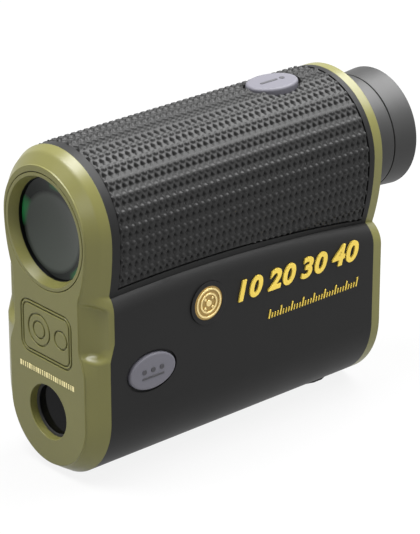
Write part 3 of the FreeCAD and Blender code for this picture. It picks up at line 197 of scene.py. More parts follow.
@dataclass(frozen=True)
class LensGlass(Finish):
    """A coated lens seen against its dark barrel, with painted reflections, turned about a line along Y."""

    painted_reflection_green: str = "1c6637"         # green of the painted coating reflections
    axis_z_mm: float = 55.0
    reflection_disc_mm: float = 8.1          # radius of the pale disc of painted reflection
    reflection_disc_x_mm: float = -1.7
    reflection_disc_z_mm: float = -0.7
    fade_mm: float = 1.0
    band_mm: float = 8.8          # where the painted green reflections begin
    painted_reflection_turns: tuple = ((66.0, 40.0), (-24.0, 40.0), (170.0, 20.0))    # turn and half spread of each painted reflection, degrees

    def across(self, tree: bpy.types.NodeTree, x_mm: float, z_mm: float) -> bpy.types.NodeSocket:
        """Vector from a line along Y to the surface, flattened onto X and Z.

        Args:
            tree: The material's node tree.
            x_mm: The line's X in millimetres.
            z_mm: The line's Z in millimetres.

        Returns:
            The socket that carries the vector in metres.
        """
        place = add_node(tree, "ShaderNodeTexCoord").outputs["Object"]
        moved = add_node(tree, "ShaderNodeVectorMath",
                         {"operation": "SUBTRACT", 1: (x_mm * MM, 0.0, z_mm * MM)}, {0: place}).outputs[0]
        return add_node(tree, "ShaderNodeVectorMath", {"operation": "MULTIPLY", 1: (1.0, 0.0, 1.0)},
                        {0: moved}).outputs[0]

    def edge(self, tree: bpy.types.NodeTree, from_mm: float, to_mm: float, x_mm: float,
             z_mm: float) -> bpy.types.NodeSocket:
        """Soft round edge about a line along Y.

        Args:
            tree: The material's node tree.
            from_mm: Radius where the value is 0.
            to_mm: Radius where the value is 1.
            x_mm: The line's X in millimetres.
            z_mm: The line's Z in millimetres.

        Returns:
            The socket that carries the value.
        """
        radius = add_node(tree, "ShaderNodeVectorMath", {"operation": "LENGTH"},
                          {0: self.across(tree, x_mm, z_mm)}).outputs["Value"]
        return add_node(tree, "ShaderNodeMapRange", {"From Min": from_mm * MM, "From Max": to_mm * MM},
                        {"Value": radius}).outputs[0]

    def painted_reflections(self, tree: bpy.types.NodeTree) -> bpy.types.NodeSocket:
        """Painted reflections in the coating's green at a few turns round the axis.

        Args:
            tree: The material's node tree.

        Returns:
            The socket that carries their strength.
        """
        outward = add_node(tree, "ShaderNodeVectorMath", {"operation": "NORMALIZE"},
                           {0: self.across(tree, 0.0, self.axis_z_mm)}).outputs[0]
        total = None
        for turn, spread in self.painted_reflection_turns:
            a = math.radians(turn)
            match = add_node(tree, "ShaderNodeVectorMath",
                             {"operation": "DOT_PRODUCT", 1: (math.cos(a), 0.0, math.sin(a))}, {0: outward})
            patch = add_node(tree, "ShaderNodeMapRange",
                             {"From Min": math.cos(math.radians(spread)), "From Max": 1.0},
                             {"Value": match.outputs["Value"]}).outputs[0]
            total = patch if total is None else add_node(
                tree, "ShaderNodeMath", {"operation": "MAXIMUM"}, {0: total, 1: patch}).outputs[0]
        return total

    def shader(self, tree: bpy.types.NodeTree) -> bpy.types.Node:
        """Add the lens shader: a painted pale reflection disc, a dark band and painted green reflections under a
        polished face.

        Args:
            tree: The material's node tree.

        Returns:
            The node whose first output is the surface.
        """
        # The pale disc is a painted reflection of the room in the dome. It is not the glass's own colour.
        painted_reflection_disc = self.edge(tree, self.reflection_disc_mm + self.fade_mm, self.reflection_disc_mm, self.reflection_disc_x_mm,
                         self.axis_z_mm + self.reflection_disc_z_mm)
        band = self.edge(tree, self.band_mm, self.band_mm + self.fade_mm, 0.0, self.axis_z_mm)
        # The green patches are painted reflections in the coating.
        painted_green_reflection = add_node(tree, "ShaderNodeMath", {"operation": "MULTIPLY"},
                         {0: self.painted_reflections(tree), 1: band})
        rim = blend(tree, painted_green_reflection.outputs[0], self.shade, self.painted_reflection_green)
        colour = blend(tree, painted_reflection_disc, self.shade, self.colour)
        tree.links.new(rim.outputs[2], colour.inputs[6])
        edges = add_node(tree, "ShaderNodeBevel", {"samples": 6, "Radius": self.edge_mm * MM})
        return add_node(tree, "ShaderNodeBsdfPrincipled",
                        {"Roughness": self.roughness, "IOR": self.ior, "Specular IOR Level": self.specular},
                        {"Base Color": colour.outputs[2], "Normal": edges.outputs[0]})


# Glass-filled nylon, moulded against a fine spark-eroded tool: a dull near-black with a soft broad sheen.
NYLON = Finish("glass_filled_nylon", "181818", "151515", 0.48, grain_mm=0.30, grain_depth_mm=0.010,
               specular=0.14)
# ABS with a satin olive soft-touch paint: even colour, gentle highlights along every edge.
OLIVE_ABS = Finish("satin_olive_abs", "646235", "5f5d32", 0.34, grain_mm=0.25, grain_depth_mm=0.006,
                   edge_mm=0.12, specular=0.32)
# Thermoplastic elastomer, moulded: charcoal with a waxy sheen that lifts in the top light.
GRIP_TPE = Finish("moulded_elastomer", "111111", "0e0e0e", 0.46, grain_mm=0.22, grain_depth_mm=0.008,
                  edge_mm=0.04, specular=0.26)
# Nitrile rubber, moulded: the dullest black, a little grey where it has bloomed.
CUP_RUBBER = Finish("nitrile_rubber", "1e1e1e", "1a1a1a", 0.50, grain_mm=0.30, grain_depth_mm=0.012,
                    edge_mm=0.3, specular=0.40)
# Aluminium, turned and black anodised: dark with a crisp grey glint on its edges.
BLACK_ANODISED = Finish("black_anodised_aluminium", "2b2b2d", "222224", 0.34, metallic=1.0, grain_mm=0.2,
                        grain_depth_mm=0.004, ior=1.45)
# Optical crown glass with a magnesium fluoride coating, over the dark barrel: smooth near-black with a painted
# grey reflection disc where the dome mirrors the room, a darker band round it and painted green coating
# reflections.
# Its colour 3c403c is the painted reflection disc.
COATED_GLASS = LensGlass("coated_glass_with_painted_reflections", "3c403c", "0b100c", 0.05, ior=1.52, edge_mm=0.25,
                         specular=0.12)
# Silicon-filter glass, polished: almost black with a plain sharp reflection.
FILTER_GLASS = Finish("dark_filter_glass", "070708", "050506", 0.10, 0.01, grain_depth_mm=0.0, ior=1.52,
                      specular=0.05)
# ABS keys with a fine matt texture: a cool lavender grey.
KEY_ABS = Finish("matt_grey_abs", "5c5b62", "57565d", 0.45, grain_mm=0.25, grain_depth_mm=0.008,
                 edge_mm=0.3, specular=0.2)
# Gold-coloured hot-stamped foil on the lettering places: warm yellow, half metallic.
GOLD_FOIL = Finish("gold_foil", "dcc04e", "cbb046", 0.38, metallic=0.35, grain_depth_mm=0.003, edge_mm=0.08)
# Brass, die-struck and gold plated: deeper and more metallic than the foil.
GOLD_PLATE = Finish("struck_gold_plate", "a88c50", "7d6536", 0.34, metallic=0.55, grain_depth_mm=0.004,
                    ior=1.45, edge_mm=0.12)
# The same plate burnished on its raised rings: paler and brighter than the ground.
BURNISHED = Finish("burnished_gold_plate", "e2cf98", "cdb67a", 0.28, metallic=0.6, grain_depth_mm=0.003,
                   ior=1.45, edge_mm=0.08)
# Pale gold pad print on the front face.
PALE_PRINT = Finish("pale_gold_print", "d8cc96", "cfc28a", 0.45, grain_depth_mm=0.003, edge_mm=0.05)
# Raised marks on the keys, moulded in the same ABS but pad printed: a darker grey.
KEY_MARK = Finish("printed_key_mark", "2c2b30", "27262b", 0.5, grain_depth_mm=0.003, edge_mm=0.05)
# Nitrile seals, moulded: matt black.
SEAL_RUBBER = Finish("seal_rubber", "1c1c1c", "171717", 0.65)
# Epoxy glass laminate with green solder mask: glossy green with faint weave patches.
BOARD = Finish("solder_mask_laminate", "1f5a38", "184a2d", 0.30, grain_mm=0.8, patch_mm=3.0)
# Epoxy chip packages, transfer moulded: matt charcoal.
CHIP = Finish("chip_epoxy", "202124", "191a1c", 0.55, patch_mm=2.0)
# Dome switches in moulded PBT: plain grey.
SWITCH = Finish("switch_pbt", "7d7f83", "707276", 0.50, patch_mm=2.0)
# Kovar cans, gold flashed: a dull metallic grey.
SENSOR_CAN = Finish("kovar_can", "a59c86", "8d8673", 0.32, metallic=1.0, ior=1.45, patch_mm=2.0)
# Stainless steel, turned: bright grey with fine machining patches.
STEEL = Finish("turned_stainless_steel", "b4b6b8", "9a9c9e", 0.28, metallic=1.0, ior=1.45, patch_mm=2.5)
# Screw steel with black oxide: dark with a glint in the socket's edge.
BLACK_OXIDE = Finish("black_oxide_steel", "3a3a3c", "2c2c2e", 0.36, metallic=1.0, ior=1.45, patch_mm=1.5)
# Printed PVC sleeve of the cell: plain grey-blue.
CELL_SLEEVE = Finish("cell_sleeve", "49566a", "414d5f", 0.35, coat=0.3)
# Nickel plated spring steel: warm bright grey.
NICKEL = Finish("nickel_plate", "c3bfb4", "a8a49a", 0.25, metallic=1.0, ior=1.45, patch_mm=2.0)

SLOT_FINISHES = {
    "olive_polymer": OLIVE_ABS, "black_polymer": NYLON, "grip_rubber": GRIP_TPE,
    "eyecup_rubber": CUP_RUBBER, "black_aluminium": BLACK_ANODISED, "coated_glass": COATED_GLASS,
    "dark_glass": FILTER_GLASS, "grey_button": KEY_ABS, "gold_plate": GOLD_PLATE,
    "seal_rubber": SEAL_RUBBER, "board_green": BOARD, "chip_black": CHIP, "switch_grey": SWITCH,
    "sensor_metal": SENSOR_CAN, "steel": STEEL, "screw_steel": BLACK_OXIDE, "battery_wrap": CELL_SLEEVE,
    "nickel": NICKEL,
}


# ---------------------------------------------------------------- mesh helpers

def new_piece(name: str, points: np.ndarray, faces: list, finish: Finish, body: Body,
              sharp_deg: float = SHARP_DEG) -> bpy.types.Object:
    """Make one mesh piece, dress it and let it ride on its body.

    Args:
        name: The piece's name.
        points: Vertex places in metres, one row each.
        faces: Vertex numbers of each face.
        finish: Its surface finish.
        body: The body that carries it.
        sharp_deg: Edges turned more than this stay sharp.

    Returns:
        The new object.
    """
    mesh = bpy.data.meshes.new(name)
    mesh.from_pydata([tuple(p) for p in points], [], faces)
    mesh.validate()
    return dress(bpy.data.objects.new(name, mesh), finish, body, sharp_deg)


def dress(piece: bpy.types.Object, finish: Finish, body: Body,
          sharp_deg: float = SHARP_DEG) -> bpy.types.Object:
    """Link a mesh piece to the scene with its finish, shading and body.

    Args:
        piece: An object with a mesh in the row frame.
        finish: Its surface finish.
        body: The body that carries it.
        sharp_deg: Edges turned more than this stay sharp.

    Returns:
        The same object.
    """
    bpy.context.scene.collection.objects.link(piece)
    mesh = piece.data
    work = bmesh.new()
    work.from_mesh(mesh)
    bmesh.ops.recalc_face_normals(work, faces=work.faces)
    work.to_mesh(mesh)
    work.free()
    mesh.materials.clear()
    mesh.materials.append(finish.material())
    mesh.polygons.foreach_set("use_smooth", [True] * len(mesh.polygons))
    mesh.set_sharp_from_angle(angle=math.radians(sharp_deg))
    mesh.update()
    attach(piece, body.value)
    LOG.info("piece %s: %d faces, finish %s", piece.name, len(mesh.polygons), finish.name)
    return piece


def joined(name: str, meshes: list) -> bpy.types.Object:
    """Join point-and-face pairs into one unlinked mesh object.

    Args:
        name: The new object's name.
        meshes: Pairs of a point array in metres and a list of faces.

    Returns:
        An object that isn't in the scene yet.
    """
    points, faces, start = [], [], 0
    for part_points, part_faces in meshes:
        points.append(np.asarray(part_points, float))
        faces.extend([tuple(v + start for v in face) for face in part_faces])
        start += len(part_points)
    mesh = bpy.data.meshes.new(name)
    mesh.from_pydata([tuple(p) for p in np.vstack(points)], [], faces)
    mesh.validate()
    return bpy.data.objects.new(name, mesh)


def curve_mesh(curve: bpy.types.Curve, to_row: Matrix) -> tuple:
    """Turn a curve into points and faces, and remove it.

    Args:
        curve: The curve or text.
        to_row: Places its mesh.

    Returns:
        Its points and its faces.
    """
    holder = bpy.data.objects.new(curve.name, curve)
    bpy.context.scene.collection.objects.link(holder)
    bpy.context.view_layer.update()
    mesh = bpy.data.meshes.new_from_object(holder.evaluated_get(bpy.context.evaluated_depsgraph_get()))
    mesh.transform(to_row)
    points = np.array([v.co for v in mesh.vertices], float).reshape(-1, 3)
    faces = [tuple(p.vertices) for p in mesh.polygons]
    bpy.data.objects.remove(holder)
    bpy.data.curves.remove(curve)
    bpy.data.meshes.remove(mesh)
    return points, faces


def plate(outlines: list, thickness: float, rounding: float, to_row: Matrix) -> tuple:
    """A flat plate with holes and islands and rounded rims.

    Args:
        outlines: Closed outlines in millimetres, nested ones being holes and islands in turn.
        thickness: Thickness in millimetres.
        rounding: Radius of the rims in millimetres.
        to_row: Places the plate, whose front faces local +Z at z = 0, in the row frame.

    Returns:
        Its points in metres and its faces.
    """
    curve = bpy.data.curves.new("plate_outline", "CURVE")
    curve.dimensions = "2D"
    curve.fill_mode = "BOTH"
    curve.extrude = (thickness / 2.0 - rounding) * MM
    curve.bevel_depth = rounding * MM
    curve.bevel_resolution = 2
    curve.offset = -rounding * MM
    for outline in outlines:
        spline = curve.splines.new("POLY")
        spline.points.add(len(outline) - 1)
        for point, (u, v) in zip(spline.points, outline):
            point.co = (u * MM, v * MM, 0.0, 1.0)
        spline.use_cyclic_u = True
    return curve_mesh(curve, to_row @ Matrix.Translation((0.0, 0.0, -thickness / 2.0 * MM)))


def turned_ring(profile: list, centre: tuple, steps: int = 128) -> tuple:
    """A ring turned about a line along Y.

    Args:
        profile: Points of (y, radius) in millimetres, in order round the closed section.
        centre: X and Z of the axis in millimetres.
        steps: Segments round the axis.

    Returns:
        Its points in metres and its faces.
    """
    count = len(profile)
    turns = np.arange(steps) * 2.0 * math.pi / steps
    points = [((centre[0] + r * math.sin(a)) * MM, y * MM, (centre[1] + r * math.cos(a)) * MM)
              for a in turns for y, r in profile]
    faces = []
    for i in range(steps):
        j = (i + 1) % steps
        for k in range(count):
            n = (k + 1) % count
            faces.append((i * count + k, i * count + n, j * count + n, j * count + k))
    return np.array(points), faces


def mark(name: str, outlines: list, sizes: tuple, to_row: Matrix, finish: Finish, body: Body) -> bpy.types.Object:
    """A thin raised mark made from one plate.

    Args:
        name: The piece's name.
        outlines: Its outlines in millimetres.
        sizes: Its thickness and the radius of its rims in millimetres.
        to_row: Places it in the row frame.
        finish: Its surface finish.
        body: The body that carries it.

    Returns:
        The piece.
    """
    return dress(joined(name, [plate(outlines, *sizes, to_row)]), finish, body)


def circle(radius: float, centre: tuple = (0.0, 0.0), steps: int = 96) -> list:
    """Points of a circle in millimetres.

    Args:
        radius: Its radius.
        centre: Its centre in the plate's own axes.
        steps: How many points.

    Returns:
        A list of points.
    """
    return [(centre[0] + radius * math.cos(2 * math.pi * i / steps),
             centre[1] + radius * math.sin(2 * math.pi * i / steps)) for i in range(steps)]


def round_rectangle(x0: float, x1: float, z0: float, z1: float, corner: float, steps: int = 8) -> list:
    """Points of a rectangle with round corners.

    Args:
        x0: Left side in millimetres.
        x1: Right side.
        z0: Lower side.
        z1: Upper side.
        corner: Corner radius.
        steps: Points along each corner.

    Returns:
        A list of points.
    """
    points = []
    for cx, cz, start in ((x1 - corner, z1 - corner, 0), (x0 + corner, z1 - corner, 90),
                          (x0 + corner, z0 + corner, 180), (x1 - corner, z0 + corner, 270)):
        for i in range(steps + 1):
            a = math.radians(start + 90.0 * i / steps)
            points.append((cx + corner * math.cos(a), cz + corner * math.sin(a)))
    return points


def smooth(edge0: float, edge1: float, value: np.ndarray) -> np.ndarray:
    """Smooth step from 0 to 1 between two edges.

    Args:
        edge0: Where it starts.
        edge1: Where it ends.
        value: The places asked for.

    Returns:
        The step's height at each place.
    """
    t = np.clip((np.asarray(value, float) - edge0) / (edge1 - edge0), 0.0, 1.0)
    return t * t * (3.0 - 2.0 * t)


def middle(corners: tuple) -> tuple:
    """Find a box's middle and its high corner.

    Args:
        corners: The box's low and high corner in metres.

    Returns:
        Y and Z of the middle in millimetres, and the corner in metres.
    """
    low, high = corners
    return (low.y + high.y) / 2.0 / MM, (low.z + high.z) / 2.0 / MM, high


FRONT_TO_ROW = Matrix.Rotation(math.radians(90.0), 4, "X")     # local +Z faces -Y, local Y is up
SIDE_TO_ROW = Matrix(((0, 0, 1, 0), (1, 0, 0, 0), (0, 1, 0, 0), (0, 0, 0, 1)))   # local +Z faces +X


# ---------------------------------------------------------------- grip panel

@dataclass
class GripPanel:
    """Rubber panel over the round top: rows of small domes with diamond pits between them."""

    cheek_radius: float = 51.0
    seam_radius: float = 320.0
    seam_apex_y: float = -25.0
    seam_apex_z: float = 45.0
    seam_margin: float = 1.65
    column_pitch: float = 1.735
    row_pitch: float = 3.46
    first_column: float = -38.15
    dome_radius: float = 0.64
    dome_slope: float = 0.20
    dome_height: float = 0.42
    pit_half_y: float = 0.64
    pit_half_arc: float = 1.12
    pit_depth: float = 0.62
    base_inset: float = 0.10
    thickness: float = 1.1
    rim_round: float = 0.35
    moat_half_x: float = 5.4
    moat_half_y: float = 7.2
    steps_y: int = 10             # samples for each column
    steps_arc: int = 18           # samples for each row
    inner_columns: int = 13
    pit_steepness: float = 1.6
    moat_snap: float = 0.13       # points this near the moat's edge move onto it
    moat_inside: float = 0.997    # share of the edge where the wall's foot stands
    moat_floor: float = 0.06      # rubber left under the moat
    merge_distance: float = 0.004
    sharp_deg: float = 75.0

    def __post_init__(self) -> None:
        """Read the panel's place from its CAD node."""
        low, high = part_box("grip_panel")
        self.radius = high.x / MM
        self.centre_z = high.z / MM - self.radius
        self.y0, self.y1 = low.y / MM, high.y / MM
        self.quarter = self.radius * math.pi / 2.0
        self.button_y = middle(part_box("power_button"))[0]

    def edge_arc(self, y: np.ndarray) -> np.ndarray:
        """Find how far down the panel reaches.

        Args:
            y: Places along the body in millimetres.

        Returns:
            Arc length from the crest to the lower edge at each place.
        """
        drop = np.sqrt((self.seam_radius + self.seam_margin) ** 2 - (y - self.seam_apex_y) ** 2)
        edge_z = self.seam_apex_z - self.seam_radius + drop
        return self.quarter + self.cheek_radius * np.arcsin((self.centre_z - edge_z) / self.cheek_radius)

    def surface(self, y: np.ndarray, arc: np.ndarray, height: np.ndarray) -> np.ndarray:
        """Place points on the panel.

        Args:
            y: Places along the body in millimetres.
            arc: Arc length from the crest, positive towards +X.
            height: Height over the smooth surface.

        Returns:
            Points in metres.
        """
        side = np.sign(arc)
        along = np.abs(arc)
        top = along <= self.quarter
        turn = along / self.radius
        low_turn = (along - self.quarter) / self.cheek_radius
        far = self.radius - self.cheek_radius
        x = np.where(top, (self.radius + height) * np.sin(turn),
                     far + (self.cheek_radius + height) * np.cos(low_turn))
        z = np.where(top, (self.radius + height) * np.cos(turn),
                     -(self.cheek_radius + height) * np.sin(low_turn))
        return np.stack([side * x, y, self.centre_z + z], axis=-1) * MM

    def relief(self, y: np.ndarray, arc: np.ndarray) -> np.ndarray:
        """Find the height of the domes less the depth of the pits.

        Args:
            y: Places along the body in millimetres.
            arc: Arc length from the crest.

        Returns:
            Height over the smooth surface in millimetres.
        """
        column = (y - self.first_column) / self.column_pitch
        row = arc / self.row_pitch
        du = (column - np.round(column)) * self.column_pitch
        dv = (row - np.round(row)) * self.row_pitch
        rise = smooth(0.0, self.dome_slope, self.dome_radius - np.hypot(du, dv))
        eu = (column - np.floor(column) - 0.5) * self.column_pitch
        ev = (row - np.floor(row) - 0.5) * self.row_pitch
        fall = np.clip(1.0 - np.abs(eu) / self.pit_half_y - np.abs(ev) / self.pit_half_arc, 0.0, 1.0)
        return self.dome_height * rise - self.pit_depth * np.minimum(fall * self.pit_steepness, 1.0)

    def build(self) -> bpy.types.Object:
        """Build the panel as a closed mesh with its relief.

        Returns:
            The piece.
        """
        step_y = self.column_pitch / self.steps_y
        step_arc = self.row_pitch / self.steps_arc
        ys = np.arange(self.y0, self.y1, step_y)
        ys = np.append(ys, self.y1)
        reach = float(self.edge_arc(np.array([self.y0, self.y1])).max())
        half = int(math.ceil(reach / step_arc))
        arcs = np.arange(-half, half + 1) * step_arc
        y_grid, arc_grid = np.meshgrid(ys, arcs, indexing="ij")
        limit = self.edge_arc(y_grid)
        arc_grid = np.clip(arc_grid, -limit, limit)
        y_grid, arc_grid, depth = self.around_button(y_grid, arc_grid)
        edge = np.minimum.reduce([y_grid - self.y0, self.y1 - y_grid, limit - np.abs(arc_grid)])
        fade = smooth(0.0, self.rim_round, edge)
        height = self.relief(y_grid, arc_grid) * fade - self.base_inset - (1.0 - fade) * self.rim_round / 2.0
        height = np.where(depth > 0.0, -depth, height)
        outer = self.surface(y_grid, arc_grid, height).reshape(-1, 3)
        rows, columns = y_grid.shape
        faces = self.grid_faces(rows, columns, 0, np.abs(arc_grid) >= limit - 1e-9)

        inner_arc = np.linspace(-1.0, 1.0, self.inner_columns)[None, :] * limit[:, :1]
        inner_y = np.repeat(ys[:, None], self.inner_columns, axis=1)
        inner = self.surface(inner_y, inner_arc, np.full_like(inner_arc, -self.thickness)).reshape(-1, 3)
        start = rows * columns
        for i in range(rows - 1):
            for k in range(self.inner_columns - 1):
                a = start + i * self.inner_columns + k
                faces.append((a, a + self.inner_columns, a + self.inner_columns + 1, a + 1))
        for outer_k, inner_k in ((0, 0), (columns - 1, self.inner_columns - 1)):
            for i in range(rows - 1):
                a, b = i * columns + outer_k, (i + 1) * columns + outer_k
                c = start + i * self.inner_columns + inner_k
                faces.append((a, b, c + self.inner_columns, c))
        for i in (0, rows - 1):
            ring = [i * columns + k for k in range(columns)]
            back = [start + i * self.inner_columns + k for k in reversed(range(self.inner_columns))]
            faces.append(tuple(ring + back))
        points = np.vstack([outer, inner])
        piece = new_piece("grip_skin", points, faces, GRIP_TPE, Body.HOUSING,
                          self.sharp_deg)
        self.merge_doubles(piece)
        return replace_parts(piece, "grip_panel")

    def around_button(self, y: np.ndarray, arc: np.ndarray) -> tuple:
        """Snap the grid to the oval moat round the power button.

        Args:
            y: Places along the body.
            arc: Arc lengths from the crest.

        Returns:
            The moved places, and the depth of the moat's floor where a point lies inside it.
        """
        across = arc / self.moat_half_x
        along = (y - self.button_y) / self.moat_half_y
        share = np.hypot(across, along)
        reach = np.hypot(arc, y - self.button_y)
        gap = reach * (1.0 - 1.0 / np.maximum(share, 1e-6))
        near = np.abs(gap) < self.moat_snap
        inside = share < 1.0
        scale = np.where(near, np.where(inside, self.moat_inside, 1.0) / np.maximum(share, 1e-6), 1.0)
        depth = np.where(inside, self.thickness - self.moat_floor, 0.0)
        return self.button_y + (y - self.button_y) * scale, arc * scale, depth

    @staticmethod
    def grid_faces(rows: int, columns: int, start: int, flat: np.ndarray) -> list:
        """Quads of a grid, without those that lie wholly on its clamped edge.

        Args:
            rows: Grid rows.
            columns: Grid columns.
            start: Number of the first vertex.
            flat: True for the points that were clamped.

        Returns:
            The faces.
        """
        i, k = np.meshgrid(np.arange(rows - 1), np.arange(columns - 1), indexing="ij")
        gone = flat[:-1, :-1] & flat[1:, :-1] & flat[1:, 1:] & flat[:-1, 1:]
        a = (start + i * columns + k)[~gone]
        return [tuple(f) for f in np.stack([a, a + 1, a + columns + 1, a + columns], axis=1).tolist()]

    def merge_doubles(self, piece: bpy.types.Object) -> None:
        """Merge the points that the clamping laid on each other.

        Args:
            piece: The panel.
        """
        work = bmesh.new()
        work.from_mesh(piece.data)
        bmesh.ops.remove_doubles(work, verts=work.verts, dist=self.merge_distance * MM)
        bmesh.ops.recalc_face_normals(work, faces=work.faces)
        work.to_mesh(piece.data)
        work.free()


# ---------------------------------------------------------------- front bezel

@dataclass
class FrontBezel:
    """Olive front bezel with soft chamfers, two finger scoops and an engraved frame with plain rings."""

    face_radius: float = 13.7
    face_centre_z: float = 56.8
    cheek_radius: float = 35.0
    scoop_half_width: float = 11.0
    face_half_width: float = 12.8
    face_arc_z: float = 14.5
    crease_radius: float = 16.0
    crease_depth: float = 2.5
    low_crease_half_width: float = 15.4
    low_crease_arc_z: float = 16.0
    low_crease_depth: float = 1.7
    outer_radius: float = 17.3
    outer_centre_z: float = 56.6
    outer_cheek_radius: float = 51.0
    outer_half_width: float = 17.65
    outer_arc_z: float = 17.19
    waist_z: float = 45.0
    shoulder_z: float = 41.2
    joint_depth: float = 4.5
    low_joint_depth: float = 3.3
    step_low_z: float = 30.8
    step_high_z: float = 34.8
    plate_thickness: float = 0.45
    rounding: float = 0.14
    core_thickness: float = 3.0
    core_share: tuple = (0.985, 0.99)            # of the face's width and height
    core_lap: float = 0.05
    wall: float = 2.2
    scoop_wall: float = 5.6       # the wall's inner side stands this far in beside a scoop
    wall_reach: float = 2.4
    wall_fade: float = 2.0
    front_wall_share: float = 0.3
    bend: float = 0.16            # share of the chamfers that rounds the crease
    spread_z: float = 28.0
    face_cheek_reach: float = 14.0
    cheek_reach: float = 20.0
    scoop_top_fade: tuple = (46.0, 41.0)
    scoop_low_fade: tuple = (32.5, 26.0)
    crease_fade: tuple = (46.0, 38.0)
    scoop_z: float = 36.7
    scoop_half_height: float = 6.9
    scoop_outer: float = 16.8
    scoop_end: float = 1.5
    scoop_share: float = 0.84     # of the way from the face to the parting line
    scoop_lead: float = 0.25
    scoop_taper: float = 0.55
    scoop_joint_gap: float = 0.3
    scoop_depth: float = 3.45
    bore_radius: float = 13.12
    aperture_radius: float = 6.3
    groove_width: float = 0.34
    frames: tuple = ((8.75, 26.1, 38.7, 2.6), (8.0, 26.85, 37.95, 2.0))     # half-width, low, high, corner
    rings: tuple = ((-2.45, 32.5, 3.8), (-2.45, 32.5, 2.1), (5.0, 32.6, 2.25))       # x, z, radius
    arc_steps: int = 44
    side_steps: int = 150
    across_steps: int = 22

    def __post_init__(self) -> None:
        """Read the face's place and the holes' axes from the CAD nodes."""
        low, _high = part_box("front_bezel")
        self.front_y = low.y / MM
        self.bore_z = middle(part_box("objective_ring"))[1]
        self.laser_z = middle(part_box("laser_window"))[1]

    def side_height(self, share: np.ndarray, low_z: float) -> np.ndarray:
        """Find the heights down the straight side, which spread only near the bottom arc's centre.

        Args:
            share: Places from the top arc to the bottom arc, 0 to 1.
            low_z: Height of the bottom arc's centre.

        Returns:
            The height at each place.
        """
        plain = self.face_centre_z + (self.face_arc_z - self.face_centre_z) * share
        return plain + (low_z - self.face_arc_z) * smooth(self.spread_z, self.face_arc_z, plain)

    @staticmethod
    def cheek(radius: float, cheek_radius: float, drop: np.ndarray) -> np.ndarray:
        """Half-width of a side that bows in below its round top.

        Args:
            radius: Radius of the top arc.
            cheek_radius: Radius of the bow.
            drop: Depth under the top arc's centre.

        Returns:
            The half-width at each depth.
        """
        return radius - cheek_radius + np.sqrt(cheek_radius ** 2 - drop ** 2)

    def face_side(self, z: np.ndarray) -> np.ndarray:
        """Find the half-width of the flat face down its side.

        Args:
            z: Heights in millimetres.

        Returns:
            The half-width at each height.
        """
        cheek = self.cheek(self.face_radius, self.cheek_radius,
                           np.clip(self.face_centre_z - z, 0.0, self.face_cheek_reach))
        upper = cheek + (self.scoop_half_width - cheek) * smooth(*self.scoop_top_fade, z)
        return upper + (self.face_half_width - upper) * smooth(*self.scoop_low_fade, z)

    def crease_side(self, z: np.ndarray) -> np.ndarray:
        """Find the half-width of the soft crease down its side.

        Args:
            z: Heights in millimetres.

        Returns:
            The half-width at each height.
        """
        cheek = self.cheek(self.crease_radius, self.outer_cheek_radius,
                           np.clip(self.face_centre_z - z, 0.0, self.cheek_reach))
        return cheek + (self.low_crease_half_width - cheek) * smooth(self.waist_z + 1.0, self.shoulder_z, z)

    def outer_side(self, z: np.ndarray) -> np.ndarray:
        """Find the half-width of the body at the parting line down its side.

        Args:
            z: Heights in millimetres.

        Returns:
            The half-width at each height.
        """
        cheek = self.cheek(self.outer_radius, self.outer_cheek_radius,
                           np.clip(self.outer_centre_z - z, 0.0, self.cheek_reach))
        share = np.clip((self.waist_z - z) / (self.waist_z - self.shoulder_z), 0.0, 1.0)
        shoulder = np.sqrt(np.clip(1.0 - (1.0 - share) ** 2, 0.0, 1.0))
        return cheek + (self.outer_half_width - cheek) * np.where(z > self.waist_z, 0.0, shoulder)

    def outline(self, radius: float, centre_z: float, side, low_z: float, low_radius: float) -> np.ndarray:
        """Half an outline from the top to the bottom, on the +X side.

        Args:
            radius: Radius of the top arc.
            centre_z: Height of its centre.
            side: Function from a height to the half-width.
            low_z: Height of the bottom arc's centre.
            low_radius: Radius of the bottom arc.

        Returns:
            Rows of X and Z in millimetres.
        """
        top = np.linspace(math.pi / 2.0, 0.0, self.arc_steps, endpoint=False)
        share = np.linspace(0.0, 1.0, self.side_steps, endpoint=False)
        bottom = np.linspace(0.0, -math.pi / 2.0, self.arc_steps)
        z_side = self.side_height(share, low_z)
        z_side = np.minimum(z_side, centre_z)
        x = np.concatenate([radius * np.cos(top), side(z_side), low_radius * np.cos(bottom)])
        z = np.concatenate([centre_z + radius * np.sin(top), z_side, low_z + low_radius * np.sin(bottom)])
        return np.stack([x, np.maximum(z, 0.0)], axis=1)

    def joint_y(self, z: np.ndarray) -> np.ndarray:
        """Find the place of the stepped parting line along Y.

        Args:
            z: Heights in millimetres.

        Returns:
            Its Y at each height.
        """
        return self.front_y + self.low_joint_depth + (self.joint_depth - self.low_joint_depth) * np.clip(
            (z - self.step_low_z) / (self.step_high_z - self.step_low_z), 0.0, 1.0)

